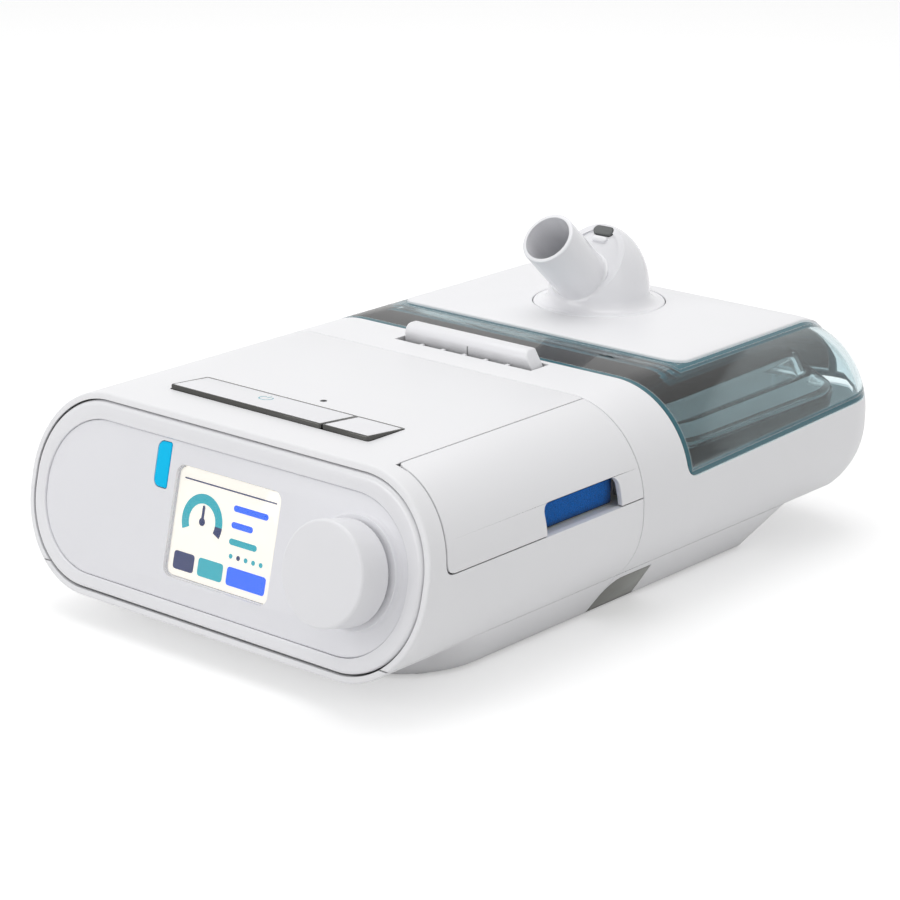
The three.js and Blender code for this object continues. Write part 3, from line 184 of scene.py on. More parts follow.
class DoorSizes(bpy.types.PropertyGroup):
    bottom: length("Bottom", "Height of the door's lower edge", 0.051)
    front_inset: length("Front inset", "Distance of the door from the face", 0.008)
    corner: length("Corner", "Radius of the door's lower front corner", 0.005)
    top_corner: length("Top corner", "Radius of the door's upper front corner", 0.0017)
    thickness: length("Thickness", "Thickness of the door's skin", 0.0022)
    barrel: length("Barrel", "Radius of the hinge barrel", 0.002)
    ear: length("Ear", "Length of the case's hinge ears", 0.003)
    window_front: length("Window front", "Front end of the air window", -0.066)
    window_rear: length("Window rear", "Rear end of the air window", -0.0245)
    window_high: length("Window high", "Top of the air window", 0.062)
    window_corner: length("Window corner", "Radius of the air window's top corners", 0.0035)


class PlinthSizes(bpy.types.PropertyGroup):
    slope_from: length("Foot of the slope", "Height at which the slope starts", PLINTH_LOW)
    half: length("Half width", "Half the plinth's width at the floor", 0.0705)
    front: length("Front", "Front of the plinth at the floor", -0.108)
    rear: length("Rear", "Rear of the plinth at the floor", 0.088)
    spread: length("Spread", "How much longer each end is at the crease", 0.010)
    front_corner: length("Front corner", "Radius of the plinth's front corners", 0.034)
    rear_corner: length("Rear corner", "Radius of the plinth's rear corners", 0.005)
    pad_front: length("Pad front", "Front of the side pad", -0.0116)
    pad_rear: length("Pad rear", "Rear of the side pad", 0.0118)
    pad_low: length("Pad low", "Low edge of the side pad", 0.002)
    pad_high: length("Pad high", "High edge of the side pad", 0.0160)
    pad_corner: length("Pad corner", "Radius of the side pad's upper front corner", 0.006)
    pad_lean: length("Pad lean", "How much further back the pad's rear edge ends at the foot", 0.003)
    pad_thickness: length("Pad thickness", "Thickness of the side pad", 0.0015)


class LidSizes(bpy.types.PropertyGroup):
    wall: length("Wall", "Thickness of the clear lid", 0.0026)
    edge_front: length("Front edge height", "Height of the lid's lower edge at the front", 0.0515)
    edge_rear: length("Rear edge height", "Height of the lid's lower edge at the rear", 0.0555)
    corner: length("Corner", "Radius of the lid's lower front corner", 0.006)
    cover_rise: length("Cover rise", "How far the cover stands over the lid", 0.001)
    cover_thickness: length("Cover thickness", "Thickness of the cover", 0.002)
    cover_half: length("Cover half width", "Half the cover's width", 0.069)
    cover_front: length("Cover front", "Front edge of the cover", 0.044)
    cover_corner: length("Cover corner", "Radius of the cover's corners", 0.007)
    cover_low: length("Cover low", "Lower edge of the cover behind", 0.0586)
    port: length("Port", "Radius of the elbow's ring", 0.0263)
    neck: length("Neck", "Radius of the elbow's neck", 0.0134)
    knuckle: length("Knuckle", "Radius of the hinge knuckles", 0.0024)
    knuckle_half: length("Knuckle half length", "Half the length of the lid's knuckle", 0.034)
    hinge_zone: length("Hinge zone", "Half the width cleared for the hinge", 0.084)


class ElbowSizes(bpy.types.PropertyGroup):
    tilt: FloatProperty(name="Tilt", description="Rise of the tube over level", default=math.radians(42.5),
                        subtype="ANGLE")
    disc: length("Disc", "Thickness of the elbow's ring", 0.002)
    hood: length("Hood radius", "Radius of the hood above its flare", 0.0202)
    hood_height: length("Hood height", "Height of the hood's dome", 0.0266)
    flare: length("Flare", "Height of the flare at the hood's foot", 0.006)
    foot: length("Foot radius", "Radius of the flare at the ring", 0.0244)
    tube: length("Tube radius", "Outer radius of the tube", 0.011)
    bore: length("Bore radius", "Inner radius of the tube", 0.0094)
    face: length("Face distance", "Distance of the slanted face from the ring's middle", 0.01865)
    tube_up: length("Tube offset", "How far the tube's line lies up the face", 0.00216)
    tube_length: length("Tube length", "Length of the tube in front of the face", 0.0282)
    neck_depth: length("Neck depth", "How deep the neck reaches into the lid", 0.007)


class Finishes(bpy.types.PropertyGroup):
    case_white: hue("Case white", "Satin shells", srgb("EFEFF1"))
    gloss_white: hue("Gloss white", "Bezel and elbow", srgb("EEEEF1"))
    plate_grey: hue("Plate grey", "Face plate", srgb("ECECF0"))
    key_white: hue("Key white", "Keys, dial and latch", srgb("EBEBEE"))
    strip_blue: hue("Strip blue", "Status strip", srgb("00C8FF"))
    filter_blue: hue("Filter blue", "Air filter", srgb("0070E0"))
    pad_grey: hue("Pad grey", "Side pads", srgb("74756F"))
    lid_tint: hue("Lid tint", "Clear lid", srgb("DDECEF"))
    lid_edge: hue("Lid edge", "Edges of the clear lid", srgb("005C6A"))
    screen_cream: hue("Screen cream", "Display background", srgb("FFFAF0"))
    screen_teal: hue("Screen teal", "Display marks", srgb("08A5B5"))
    screen_blue: hue("Screen blue", "Display marks", srgb("0563FF"))
    screen_navy: hue("Screen navy", "Display marks", srgb("06205C"))


GROUPS = {
    "machine_case": CaseSizes, "machine_face": FaceSizes, "machine_dial": DialSizes,
    "machine_keys": KeySizes, "machine_door": DoorSizes, "machine_plinth": PlinthSizes,
    "machine_lid": LidSizes, "machine_elbow": ElbowSizes, "machine_finishes": Finishes,
}


def sizes(group):
    return getattr(bpy.context.scene, "machine_" + group)


# Modelling by hand: choose elements by their place, then run an edit-mode operator on them
def pick_only(*pieces):
    if bpy.context.object is not None and bpy.context.object.mode != "OBJECT":
        bpy.ops.object.mode_set(mode="OBJECT")
    bpy.ops.object.select_all(action="DESELECT")
    for piece in pieces:
        piece.select_set(True)
        bpy.context.view_layer.objects.active = piece


def settle(name):
    """Names the new object and puts its place into its mesh."""
    piece = bpy.context.object
    piece.name = name
    piece.data.name = name
    bpy.ops.object.transform_apply(location=True, rotation=True, scale=True)
    return piece


def block(name, low, high):
    """A box between two corners."""
    pick_only()
    low, high = Vector(low), Vector(high)
    bpy.ops.mesh.primitive_cube_add(size=1, location=(low + high) / 2, scale=high - low)
    return settle(name)


def drum(name, radius, start, end, end_radius=None):
    """A round bar between two points."""
    pick_only()
    start, end = Vector(start), Vector(end)
    run = end - start
    turn = run.to_track_quat("Z", "Y").to_euler()
    steps = sizes("case").turn_steps
    bpy.ops.mesh.primitive_cone_add(
        vertices=steps, radius1=radius, radius2=radius if end_radius is None else end_radius,
        depth=run.length, location=(start + end) / 2, rotation=turn)
    return settle(name)


def choose(piece, kind, test=lambda element: True):
    """Opens the piece for editing with only the elements that pass the test selected."""
    pick_only(piece)
    bpy.ops.object.mode_set(mode="EDIT")
    bpy.ops.mesh.select_mode(type=kind)
    bpy.ops.mesh.select_all(action="DESELECT")
    shape = bmesh.from_edit_mesh(piece.data)
    for element in {"VERT": shape.verts, "EDGE": shape.edges, "FACE": shape.faces}[kind]:
        if test(element):
            element.select_set(True)
    shape.select_flush_mode()
    bmesh.update_edit_mesh(piece.data)


def close(piece):
    bpy.ops.object.mode_set(mode="OBJECT")
    return piece


def along(direction, *more):
    """A test for edges that run in a direction and pass further tests of their middle."""
    direction = Vector(direction).normalized()

    def test(edge):
        a, b = (vert.co for vert in edge.verts)
        run = b - a
        level = run.length > 0 and abs(run.normalized().dot(direction)) > 0.999
        return level and all(check((a + b) / 2) for check in more)
    return test


def in_plane(point, normal, tolerance=1e-5):
    """A test for edges or faces whose corners all lie in a plane."""
    point, normal = Vector(point), Vector(normal).normalized()
    return lambda element: all(abs((vert.co - point).dot(normal)) < tolerance for vert in element.verts)


def level(height):
    return in_plane((0, 0, height), (0, 0, 1))


def upright(y):
    return in_plane((0, y, 0), (0, 1, 0))


def both(*tests):
    """A test that is passed by what passes all of these."""
    return lambda element: all(test(element) for test in tests)


def other_than(test):
    """A test that is passed by what fails another."""
    return lambda element: not test(element)


def soften(piece, test, radius, steps, profile=0.5):
    """Rounds the edges that pass the test."""
    choose(piece, "EDGE", test)
    bpy.ops.mesh.bevel(offset_type="OFFSET", offset=radius, segments=steps, profile=profile,
                       affect="EDGES", clamp_overlap=False)
    bpy.ops.mesh.select_all(action="SELECT")
    bpy.ops.mesh.remove_doubles(threshold=SAME)
    return close(piece)


def slide(piece, kind, test, offset):
    choose(piece, kind, test)
    bpy.ops.transform.translate(value=Vector(offset))
    return close(piece)


def slice_off(piece, point, normal):
    """Cuts away what lies on the side that the normal points to."""
    choose(piece, "FACE")
    bpy.ops.mesh.bisect(plane_co=point, plane_no=normal, use_fill=True, clear_outer=True)
    return close(piece)


def modify(piece, kind, **settings):
    """Adds a modifier and applies it."""
    pick_only(piece)
    modifier = piece.modifiers.new(kind.title(), kind)
    for name, value in settings.items():
        setattr(modifier, name, value)
    bpy.ops.object.modifier_apply(modifier=modifier.name)
    return piece


def combine(piece, others, operation):
    for other in others:
        modify(piece, "BOOLEAN", object=other, operation=operation, solver="MANIFOLD")
        bpy.data.objects.remove(other)
    return piece


def carve(piece, *cutters):
    return combine(piece, cutters, "DIFFERENCE")


def weld(piece, *others):
    return combine(piece, others, "UNION")


def keep_common(piece, other):
    return combine(piece, [other], "INTERSECT")


def copy_of(piece, name):
    twin = piece.copy()
    twin.data = piece.data.copy()
    twin.name = twin.data.name = name
    bpy.context.scene.collection.objects.link(twin)
    return twin


def gather(name, pieces):
    """Joins separate bodies into one object without merging them."""
    pick_only(*pieces)
    bpy.ops.object.join()
    whole = bpy.context.object
    whole.name = whole.data.name = name
    return whole


def put_in(piece, matrix):
    """Moves a piece drawn in its own directions into the machine's frame."""
    piece.matrix_world = matrix
    pick_only(piece)
    bpy.ops.object.transform_apply(location=True, rotation=True, scale=True)
    return piece


def chain(name, points):
    """A line of edges, drawn by pushing a corner on from each point to the next."""
    points = [Vector(point) for point in points]
    pick_only()
    bpy.ops.mesh.primitive_plane_add(size=1)
    bpy.ops.object.mode_set(mode="EDIT")
    bpy.ops.mesh.select_mode(type="VERT")
    bpy.ops.mesh.select_all(action="SELECT")
    bpy.ops.mesh.merge(type="CENTER")
    bpy.ops.transform.translate(value=points[0])
    for start, end in zip(points, points[1:]):
        bpy.ops.mesh.extrude_vertices_move(TRANSFORM_OT_translate={"value": end - start})
    bpy.ops.object.mode_set(mode="OBJECT")
    return settle(name)


def arc(middle, radius, start, end, steps):
    """Points on a round stretch of an outline, from one angle to another, in degrees."""
    turns = [math.radians(start + (end - start) * i / steps) for i in range(steps + 1)]
    return [(middle[0] + radius * math.cos(turn), middle[1] + radius * math.sin(turn)) for turn in turns]


def swept(start, bend, end, steps):
    """Points on a soft curve from one point to another, drawn towards a third."""
    shares = [i / steps for i in range(steps + 1)]
    return [tuple((1 - t) ** 2 * a + 2 * t * (1 - t) * b + t ** 2 * c for a, b, c in zip(start, bend, end))
            for t in shares]


def prism(name, outline, low, high, matrix=None):
    """A flat outline filled and pushed out from one height to another."""
    piece = chain(name, [(x, y, low) for x, y in outline])
    choose(piece, "VERT")
    bpy.ops.mesh.remove_doubles(threshold=SAME)
    bpy.ops.mesh.edge_face_add()
    bpy.ops.mesh.select_all(action="SELECT")
    bpy.ops.mesh.extrude_region_move(TRANSFORM_OT_translate={"value": (0, 0, high - low)})
    bpy.ops.mesh.select_all(action="SELECT")
    bpy.ops.mesh.normals_make_consistent(inside=False)
    close(piece)
    return put_in(piece, matrix) if matrix else piece


def turned(name, profile, matrix=None):
    """A closed profile of radii and heights spun about the upright axis."""
    piece = chain(name, [(radius, 0, height) for radius, height in profile])
    choose(piece, "VERT")
    bpy.ops.mesh.spin(steps=sizes("case").turn_steps, angle=math.tau, center=(0, 0, 0), axis=(0, 0, 1))
    bpy.ops.mesh.select_all(action="SELECT")
    bpy.ops.mesh.remove_doubles(threshold=SAME)
    bpy.ops.mesh.normals_make_consistent(inside=False)
    close(piece)
    return put_in(piece, matrix) if matrix else piece


def tile(name, low, high, corners, steps=10, matrix=None):
    """A slab with upright corners rounded: one radius, or four from the low left one round."""
    piece = block(name, low, high)
    radii = corners if isinstance(corners, tuple) else (corners,) * 4
    places = [(low[0], low[1]), (high[0], low[1]), (high[0], high[1]), (low[0], high[1])]
    for radius, (x, y) in zip(radii, places):
        if radius > 0:
            near = lambda middle: abs(middle.x - x) < SAME and abs(middle.y - y) < SAME
            soften(piece, along((0, 0, 1), near), radius, steps)
    return put_in(piece, matrix) if matrix else piece


def frame_at(origin, across, up, out):
    matrix = Matrix((across, up, out)).transposed().to_4x4()
    matrix.translation = origin
    return matrix


def face_matrix():
    """The leaning face's own frame, with its origin at the face's middle."""
    origin = DIAL_MIDDLE - UP * sizes("face").middle
    origin.x = 0
    return frame_at(origin, ACROSS, UP, OUT)


def dial_matrix():
    return frame_at(DIAL_MIDDLE, ACROSS, UP, OUT)


SIDEWAYS = frame_at(Vector((0, 0, 0)), Vector((0, 1, 0)), Vector((0, 0, 1)), Vector((1, 0, 0)))


def face_y(height, depth=0):
    """How far forward the leaning face lies at a height, or a line behind it."""
    lean = UP.y / UP.z
    origin = face_matrix().translation
    return origin.y + (height - origin.z) * lean + depth


def hand_over(piece, body, slot, *nodes, finish=None, angle=32):
    """Shades the finished piece, gives it its material and lets it ride in place of CAD nodes."""
    shape = bmesh.new()
    shape.from_mesh(piece.data)
    open_edges = sum(len(edge.link_faces) != 2 for edge in shape.edges)
    volume = shape.calc_volume()
    shape.free()
    if open_edges > OPEN_EDGES or volume <= 0:
        raise RuntimeError(f"{piece.name} isn't closed")
    pick_only(piece)
    bpy.ops.object.shade_smooth_by_angle(angle=math.radians(angle))
    piece.data.materials.clear()
    piece.data.materials.append(FINISHES[finish or slot])
    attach(piece, body)
    if nodes:
        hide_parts(*nodes)


# Materials: each is built once, by name, from what the real surface is
def linear(color, amount=1.0):
    """Shares of sRGB, scaled lighter or darker, as linear colour with full cover."""
    shares = [min(1, c * amount) for c in color]
    return [c / 12.92 if c <= 0.04045 else ((c + 0.055) / 1.055) ** 2.4 for c in shares] + [1]


def add_node(tree, kind, sockets=None, **settings):
    """Adds a node, with values or links for its sockets. A node as a value stands for its first output."""
    new = tree.nodes.new("ShaderNode" + kind)
    for name, value in settings.items():
        setattr(new, name, value)
    for name, value in (sockets or {}).items():
        if isinstance(value, bpy.types.Node):
            value = value.outputs[0]
        if isinstance(value, bpy.types.NodeSocket):
            tree.links.new(value, new.inputs[name])
        else:
            new.inputs[name].default_value = value
    return new


def start_material(name):
    """An empty material with Object coordinates in metres ready for patterns."""
    material = bpy.data.materials.new(name)
    material.use_nodes = True
    tree = material.node_tree
    tree.nodes.clear()
    return material, tree, add_node(tree, "TexCoord").outputs["Object"]


def surfaced(material, sockets):
    """Ends a material in one surface shader."""
    tree = material.node_tree
    add_node(tree, "OutputMaterial", {"Surface": add_node(tree, "BsdfPrincipled", sockets)})
    return material


def per_metre(millimetres):
    """Texture scale for a pattern of that spacing."""
    return 1000 / millimetres


def varied(tree, place, color, spacing, spread):
    """A colour that drifts a little lighter and darker over the surface."""
    cloud = add_node(tree, "TexNoise", {"Vector": place, "Scale": per_metre(spacing), "Detail": 4})
    return add_node(tree, "Mix", {
        "Factor": cloud.outputs["Fac"], "A": linear(color, 1 - spread), "B": linear(color, 1 + spread),
    }, data_type="RGBA").outputs["Result"]


def rough_range(tree, place, spacing, low, high):
    """A roughness that drifts between two values over the surface."""
    cloud = add_node(tree, "TexNoise", {"Vector": place, "Scale": per_metre(spacing), "Detail": 3})
    return add_node(tree, "MapRange", {"Value": cloud.outputs["Fac"], "To Min": low, "To Max": high})


def raised(tree, height, distance, strength):
    return add_node(tree, "Bump", {"Height": height, "Distance": distance, "Strength": strength})


def painted_gap_shade(tree, base, color, reach, full):
    """Painted shade: a colour that darkens in narrow gaps and corners, where little light reaches."""
    hidden = add_node(tree, "AmbientOcclusion", {"Distance": reach}, samples=4)
    bare = add_node(tree, "MapRange", {"Value": hidden.outputs["AO"], "From Min": 0, "From Max": full})
    depth_shade = 0.25
    return add_node(tree, "Mix", {"Factor": bare, "A": linear(color, depth_shade), "B": base},
                    data_type="RGBA").outputs["Result"]


def moulded(name, color, roughness, grain, relief, ior, spread, painted_shade_reach=0.0, full=0.3, **more):
    """A moulded surface: colour drift, uneven gloss, the mould's fine grain and, where asked, painted shade
    darkening its seams and gaps.
    """
    material, tree, place = start_material(name)
    grains = add_node(tree, "TexNoise", {
        "Vector": place, "Scale": per_metre(grain), "Detail": 2, "Roughness": 0.6})
    base = varied(tree, place, color, 45, spread)
    # Painted shade darkens seams and gaps within the given reach
    if painted_shade_reach:
        base = painted_gap_shade(tree, base, color, painted_shade_reach, full)
    return surfaced(material, {
        "Base Color": base, "IOR": ior, **more,
        "Roughness": rough_range(tree, place, 18, roughness * 0.9, roughness * 1.1),
        "Normal": raised(tree, grains.outputs["Fac"], relief, 0.25)})


def metal(name, color, roughness, stretch, relief, anisotropy=0.0):
    """A bare metal with fine lines drawn along one direction, stretched across the others."""
    material, tree, place = start_material(name)
    lines = add_node(tree, "Mapping", {"Vector": place, "Scale": stretch})
    drawn = add_node(tree, "TexNoise", {"Vector": lines, "Scale": 1, "Detail": 3})
    return surfaced(material, {
        "Base Color": varied(tree, place, color, 12, 0.02), "Metallic": 1,
        "Roughness": rough_range(tree, place, 9, roughness * 0.85, roughness * 1.15),
        "Anisotropic": anisotropy, "Normal": raised(tree, drawn.outputs["Fac"], relief, 0.2)})


def clear_plastic(name, color, roughness, ior, edge=None, shine=0.5):
    """A clear moulding that bends what is seen through it, tinted, with deeper colour along its edges."""
    material, tree, place = start_material(name)
    flow = add_node(tree, "TexNoise", {"Vector": place, "Scale": per_metre(28), "Detail": 1})
    sockets = {
        "Base Color": linear(color), "Transmission Weight": 1, "IOR": ior, "Specular IOR Level": shine,
        "Roughness": rough_range(tree, place, 30, roughness * 0.8, roughness * 1.4),
        "Normal": raised(tree, flow.outputs["Fac"], 0.0002, 0.12)}
    if edge is not None:
        rim = lid_rim(tree, place)
        sockets["Base Color"] = add_node(tree, "Mix", {
            "Factor": rim, "A": linear(color), "B": linear(edge)}, data_type="RGBA").outputs["Result"]
        sockets["Transmission Weight"] = add_node(tree, "MapRange", {
            "Value": rim, "To Min": 1, "To Max": 0.06})
    # Lamps and the room light what lies behind straight through the wall, as clear plastic lets them
    ray = add_node(tree, "LightPath")
    lit = add_node(tree, "Math", {
        0: ray.outputs["Is Shadow Ray"], 1: ray.outputs["Is Diffuse Ray"]}, operation="MAXIMUM")
    way = add_node(tree, "BsdfTransparent", {"Color": linear(color, 1.06)})
    mixed = add_node(tree, "MixShader", {0: lit, 1: add_node(tree, "BsdfPrincipled", sockets), 2: way})
    add_node(tree, "OutputMaterial", {"Surface": mixed})
    return material


# The lid's deep colour fills this much of its rim, and is gone this far in
RIM_FULL = 0.0019
RIM_NONE = 0.0028
# The band round the cover's seat: its middle in metres outside the cover, and how much narrower than the rim
SEAT_BAND = 0.0012
SEAT_NARROW = 1.5


def lid_rim(tree, place):
    """Full along the lid's lower and front edges and round the cover's seat, none a few millimetres on."""
    lid = sizes("lid")
    slope = (lid.edge_rear - lid.edge_front) / (MACHINE_REAR - LID_FRONT)
    parts = add_node(tree, "SeparateXYZ", {"Vector": place}).outputs
    fall = add_node(tree, "Math", {0: parts["Y"], 1: -slope, 2: slope * LID_FRONT - lid.edge_front},
                    operation="MULTIPLY_ADD")
    over_low = add_node(tree, "Math", {0: parts["Z"], 1: fall}, operation="ADD")
    behind = add_node(tree, "Math", {0: parts["Y"], 1: LID_FRONT}, operation="SUBTRACT")
    edge = add_node(tree, "Math", {0: over_low, 1: behind}, operation="MINIMUM")
    aside = add_node(tree, "Math", {0: parts["X"]}, operation="ABSOLUTE")
    past = add_node(tree, "Math", {0: aside, 1: lid.cover_half}, operation="SUBTRACT")
    ahead = add_node(tree, "Math", {0: lid.cover_front, 1: parts["Y"]}, operation="SUBTRACT")
    seat = add_node(tree, "Math", {0: past, 1: ahead}, operation="MAXIMUM")
    near = add_node(tree, "Math", {0: seat, 1: SEAT_NARROW, 2: -SEAT_BAND}, operation="MULTIPLY_ADD")
    band = add_node(tree, "Math", {0: near}, operation="ABSOLUTE")
    rim = add_node(tree, "Math", {0: edge, 1: band}, operation="MINIMUM")
    return add_node(tree, "MapRange", {
        "Value": rim, "From Min": RIM_FULL, "From Max": RIM_NONE, "To Min": 1, "To Max": 0})


def make_finishes():
    """Builds every material of the machine. Grain is in millimetres, relief and the reach of painted shade
    in metres.
    """
    colors = sizes("finishes")
    made = {}
    abs_ior = 1.54

    # Injection-moulded ABS from a spark-eroded mould: satin, with a fine even grain.
    # The real grain is near 0.1 mm, drawn at 0.7 mm so that it shows.
    # Painted shade darkens its seams and gaps within 5 mm
    made["case_white"] = moulded("satin_white_abs", colors.case_white, roughness=0.4, grain=0.7,
                                 relief=0.00004, ior=abs_ior, spread=0.006, painted_shade_reach=0.005)
    # ABS from a polished mould: a hard gloss that mirrors the lamps, faintly wavy
    made["gloss_white"] = moulded("polished_white_abs", colors.gloss_white, roughness=0.12, grain=14,
                                  relief=0.00006, ior=abs_ior, spread=0.004)
    # Painted polycarbonate panel: cool grey with a soft sheen
    made["plate_grey"] = moulded("silver_grey_panel", colors.plate_grey, roughness=0.3, grain=0.9,
                                 relief=0.00003, ior=1.5, spread=0.008)
    # Dial and keys: smooth matt ABS, a touch greyer than the case, with its grain drawn coarse to show
    matt = {"roughness": 0.34, "grain": 0.6, "relief": 0.00004, "ior": abs_ior, "spread": 0.006}
    made["key_white"] = moulded("matt_white_abs", colors.key_white, **matt)
    # The latch bar's matt ABS, with painted shade darkening it along its foot, where it lies deep in its
    # slot
    made["latch_white"] = moulded("sunk_white_abs", colors.key_white, **matt, painted_shade_reach=0.009, full=0.75)
    # Chrome plating over moulded plastic, its colour darkened as a painted reflection of dark surroundings:
    # a mirror with barely any ripple
    made["bright_metal"] = metal("plated_chrome", srgb("565654"), 0.1, (60, 60, 60), 0.00003)
    # Zinc-plated and stainless steel: greyer, with drawn lines along the bar
    made["steel"] = metal("stainless_steel", srgb("B9BCBF"), 0.28, (300, 300, 1800), 0.00004, 0.3)
    # Rolled aluminium heater plate: fine parallel rolling lines 0.5 mm apart
    made["aluminium"] = metal("rolled_aluminium", srgb("C9CBCD"), 0.32, (2000, 60, 60), 0.00005, 0.4)
    # Enamelled copper wire wound on the motor's teeth: amber varnish over metal
    made["copper"] = wound_wire("enamelled_copper", srgb("B4693A"))
    # Moulded black polyamide with a light grain
    made["black_plastic"] = moulded("black_polyamide", srgb("17181B"), roughness=0.5, grain=0.8,
                                    relief=0.00006, ior=1.53, spread=0.05)
    # Smooth grey elastomer pads, half gloss
    made["smoke_grey"] = moulded("smooth_grey_pad", colors.pad_grey, roughness=0.36, grain=6,
                                 relief=0.00005, ior=1.45, spread=0.02)
    # Silicone rubber: dull, slightly dusty
    made["grey_rubber"] = moulded("grey_silicone_rubber", srgb("6E7070"), roughness=0.75, grain=1.2,
                                  relief=0.0001, ior=1.41, spread=0.04)
    # Natural white polypropylene of the inner mouldings: waxy and a little translucent
    made["soft_white"] = moulded("natural_polypropylene", srgb("E2E3E2"), roughness=0.5, grain=1.5,
                                 relief=0.00005, ior=1.49, spread=0.02,
                                 **{"Subsurface Weight": 0.12, "Subsurface Scale": 0.001})
    # Cyan silicone of the status strip: soft gloss, light soaks in
    made["accent_blue"] = moulded("cyan_silicone", colors.strip_blue, roughness=0.35, grain=3,
                                  relief=0.00004, ior=1.43, spread=0.03, **{"Specular IOR Level": 0.15})
    made["filter_blue"] = fibre_mat("blue_filter_fibre", colors.filter_blue)
    made["foam_grey"] = open_foam("grey_open_foam", srgb("4C4F52"))
    made["board_green"] = circuit_board("green_glass_epoxy")
    # Clear hard-coated acrylic over the display
    made["lens_clear"] = clear_plastic("clear_acrylic", srgb("FCFDFD"), 0.02, 1.49, shine=0.12)
    # Grey-green tinted polycarbonate of the lid: nearly clear through the wall, deep teal along its edges
    made["smoke_clear"] = clear_plastic("tinted_polycarbonate", colors.lid_tint, 0.03, 1.58,
                                        colors.lid_edge)
    # Clear copolyester of the water tank: faintly blue, polished
    made["tank_clear"] = clear_plastic("clear_copolyester", srgb("EEF5F6"), 0.04, 1.54)
    # Clear moulded silicone of the tank's seal: a soft slightly hazy gloss
    made["clear_silicone"] = clear_plastic("clear_silicone", srgb("DFE8EA"), 0.2, 1.41)
    # Backlit display film behind the window, in its background and mark colours
    for tone in ("cream", "teal", "blue", "navy"):
        made["screen_" + tone] = display_film("lit_display_" + tone, getattr(colors, "screen_" + tone))
    # Printed teal ink of the key symbol
    made["ink_teal"] = moulded("teal_pad_print", srgb("2FA0AC"), roughness=0.45, grain=0.5,
                               relief=0.00002, ior=1.5, spread=0.02)
    return made


def wound_wire(name, color):
    """Bands of round wire 0.5 mm apart round the teeth."""
    material, tree, place = start_material(name)
    turns = add_node(tree, "TexWave", {
        "Vector": place, "Scale": per_metre(0.5) / math.tau, "Distortion": 0.4},
        wave_type="BANDS", bands_direction="Z")
    return surfaced(material, {
        "Base Color": varied(tree, place, color, 5, 0.12), "Metallic": 1, "Roughness": 0.3,
        "Coat Weight": 0.6, "Coat Roughness": 0.15,
        "Normal": raised(tree, turns.outputs["Fac"], 0.0003, 0.6)})


def grade(ramp, color, *stops):
    """Gives a colour ramp its stops, each a place and how light the colour is there."""
    for stop, (position, amount) in zip(ramp.color_ramp.elements, stops):
        stop.color = linear(color, amount)
        stop.position = position


def fibre_mat(name, color):
    """Felted polyester filter: tangled fibres, drawn at 0.6 mm, with soft fuzz at the edges and painted
    shade near the case round it.
    """
    material, tree, place = start_material(name)
    stretch = add_node(tree, "Mapping", {"Vector": place, "Scale": (1, 3, 1)})
    strands = add_node(tree, "TexNoise", {
        "Vector": stretch, "Scale": per_metre(0.6), "Detail": 5, "Distortion": 2.5})
    tone = add_node(tree, "ValToRGB", {"Fac": strands.outputs["Fac"]})
    grade(tone, color, (0.35, 0.55), (0.65, 1.25))
    # Its colour takes painted shade where it lies close to the surrounding case
    return surfaced(material, {
        "Base Color": painted_gap_shade(tree, tone.outputs["Color"], color, 0.006, 0.7), "Roughness": 0.95,
        "Sheen Weight": 0.1, "Sheen Roughness": 0.5, "Specular IOR Level": 0.2,
        "Normal": raised(tree, strands.outputs["Fac"], 0.0006, 0.8)})


def open_foam(name, color):
    """Open-cell polyurethane foam: pores 1.2 mm across, with painted shade inside them."""
    material, tree, place = start_material(name)
    cells = add_node(tree, "TexVoronoi", {"Vector": place, "Scale": per_metre(1.2)})
    tone = add_node(tree, "ValToRGB", {"Fac": cells.outputs["Distance"]})
    grade(tone, color, (0, 0.25), (0.55, 1.2))
    return surfaced(material, {
        "Base Color": tone.outputs["Color"], "Roughness": 0.98,
        "Normal": raised(tree, cells.outputs["Distance"], 0.0008, 0.9)})


def circuit_board(name):
    """Solder-masked glass epoxy: green mask, raised tracks drawn 8 mm apart to show, and tinned pads."""
    material, tree, place = start_material(name)
    grid = add_node(tree, "TexBrick", {
        "Vector": place, "Scale": per_metre(8), "Mortar Size": 0.06, "Mortar Smooth": 0.2,
        "Color1": linear(srgb("1D5B3A")), "Color2": linear(srgb("1A5236")),
        "Mortar": linear(srgb("2C7A4E"))})
    pads = add_node(tree, "TexVoronoi", {"Vector": place, "Scale": per_metre(5), "Randomness": 0.6})
    dots = add_node(tree, "Math", {0: pads.outputs["Distance"], 1: 0.16}, operation="LESS_THAN")
    color = add_node(tree, "Mix", {
        "Factor": dots, "A": grid.outputs["Color"], "B": linear(srgb("C6C8C4"))}, data_type="RGBA")
    return surfaced(material, {
        "Base Color": color.outputs["Result"], "Roughness": 0.32, "IOR": 1.55, "Metallic": dots,
        "Normal": raised(tree, grid.outputs["Fac"], 0.0001, 0.5)})


def display_film(name, color):
    """A lit display: its own faint light in rows of picture dots, drawn 0.5 mm apart."""
    material, tree, place = start_material(name)
    rows = add_node(tree, "TexWave", {"Vector": place, "Scale": per_metre(0.5) / math.tau},
                    wave_type="BANDS", bands_direction="X")
    tone = add_node(tree, "Mix", {
        "Factor": rows.outputs["Fac"], "A": linear(color, 0.98), "B": linear(color)}, data_type="RGBA")
    return surfaced(material, {
        "Base Color": tone.outputs["Result"], "Roughness": 0.6, "IOR": 1.5, "Specular IOR Level": 0.1,
        "Emission Color": linear(color), "Emission Strength": 0.25})


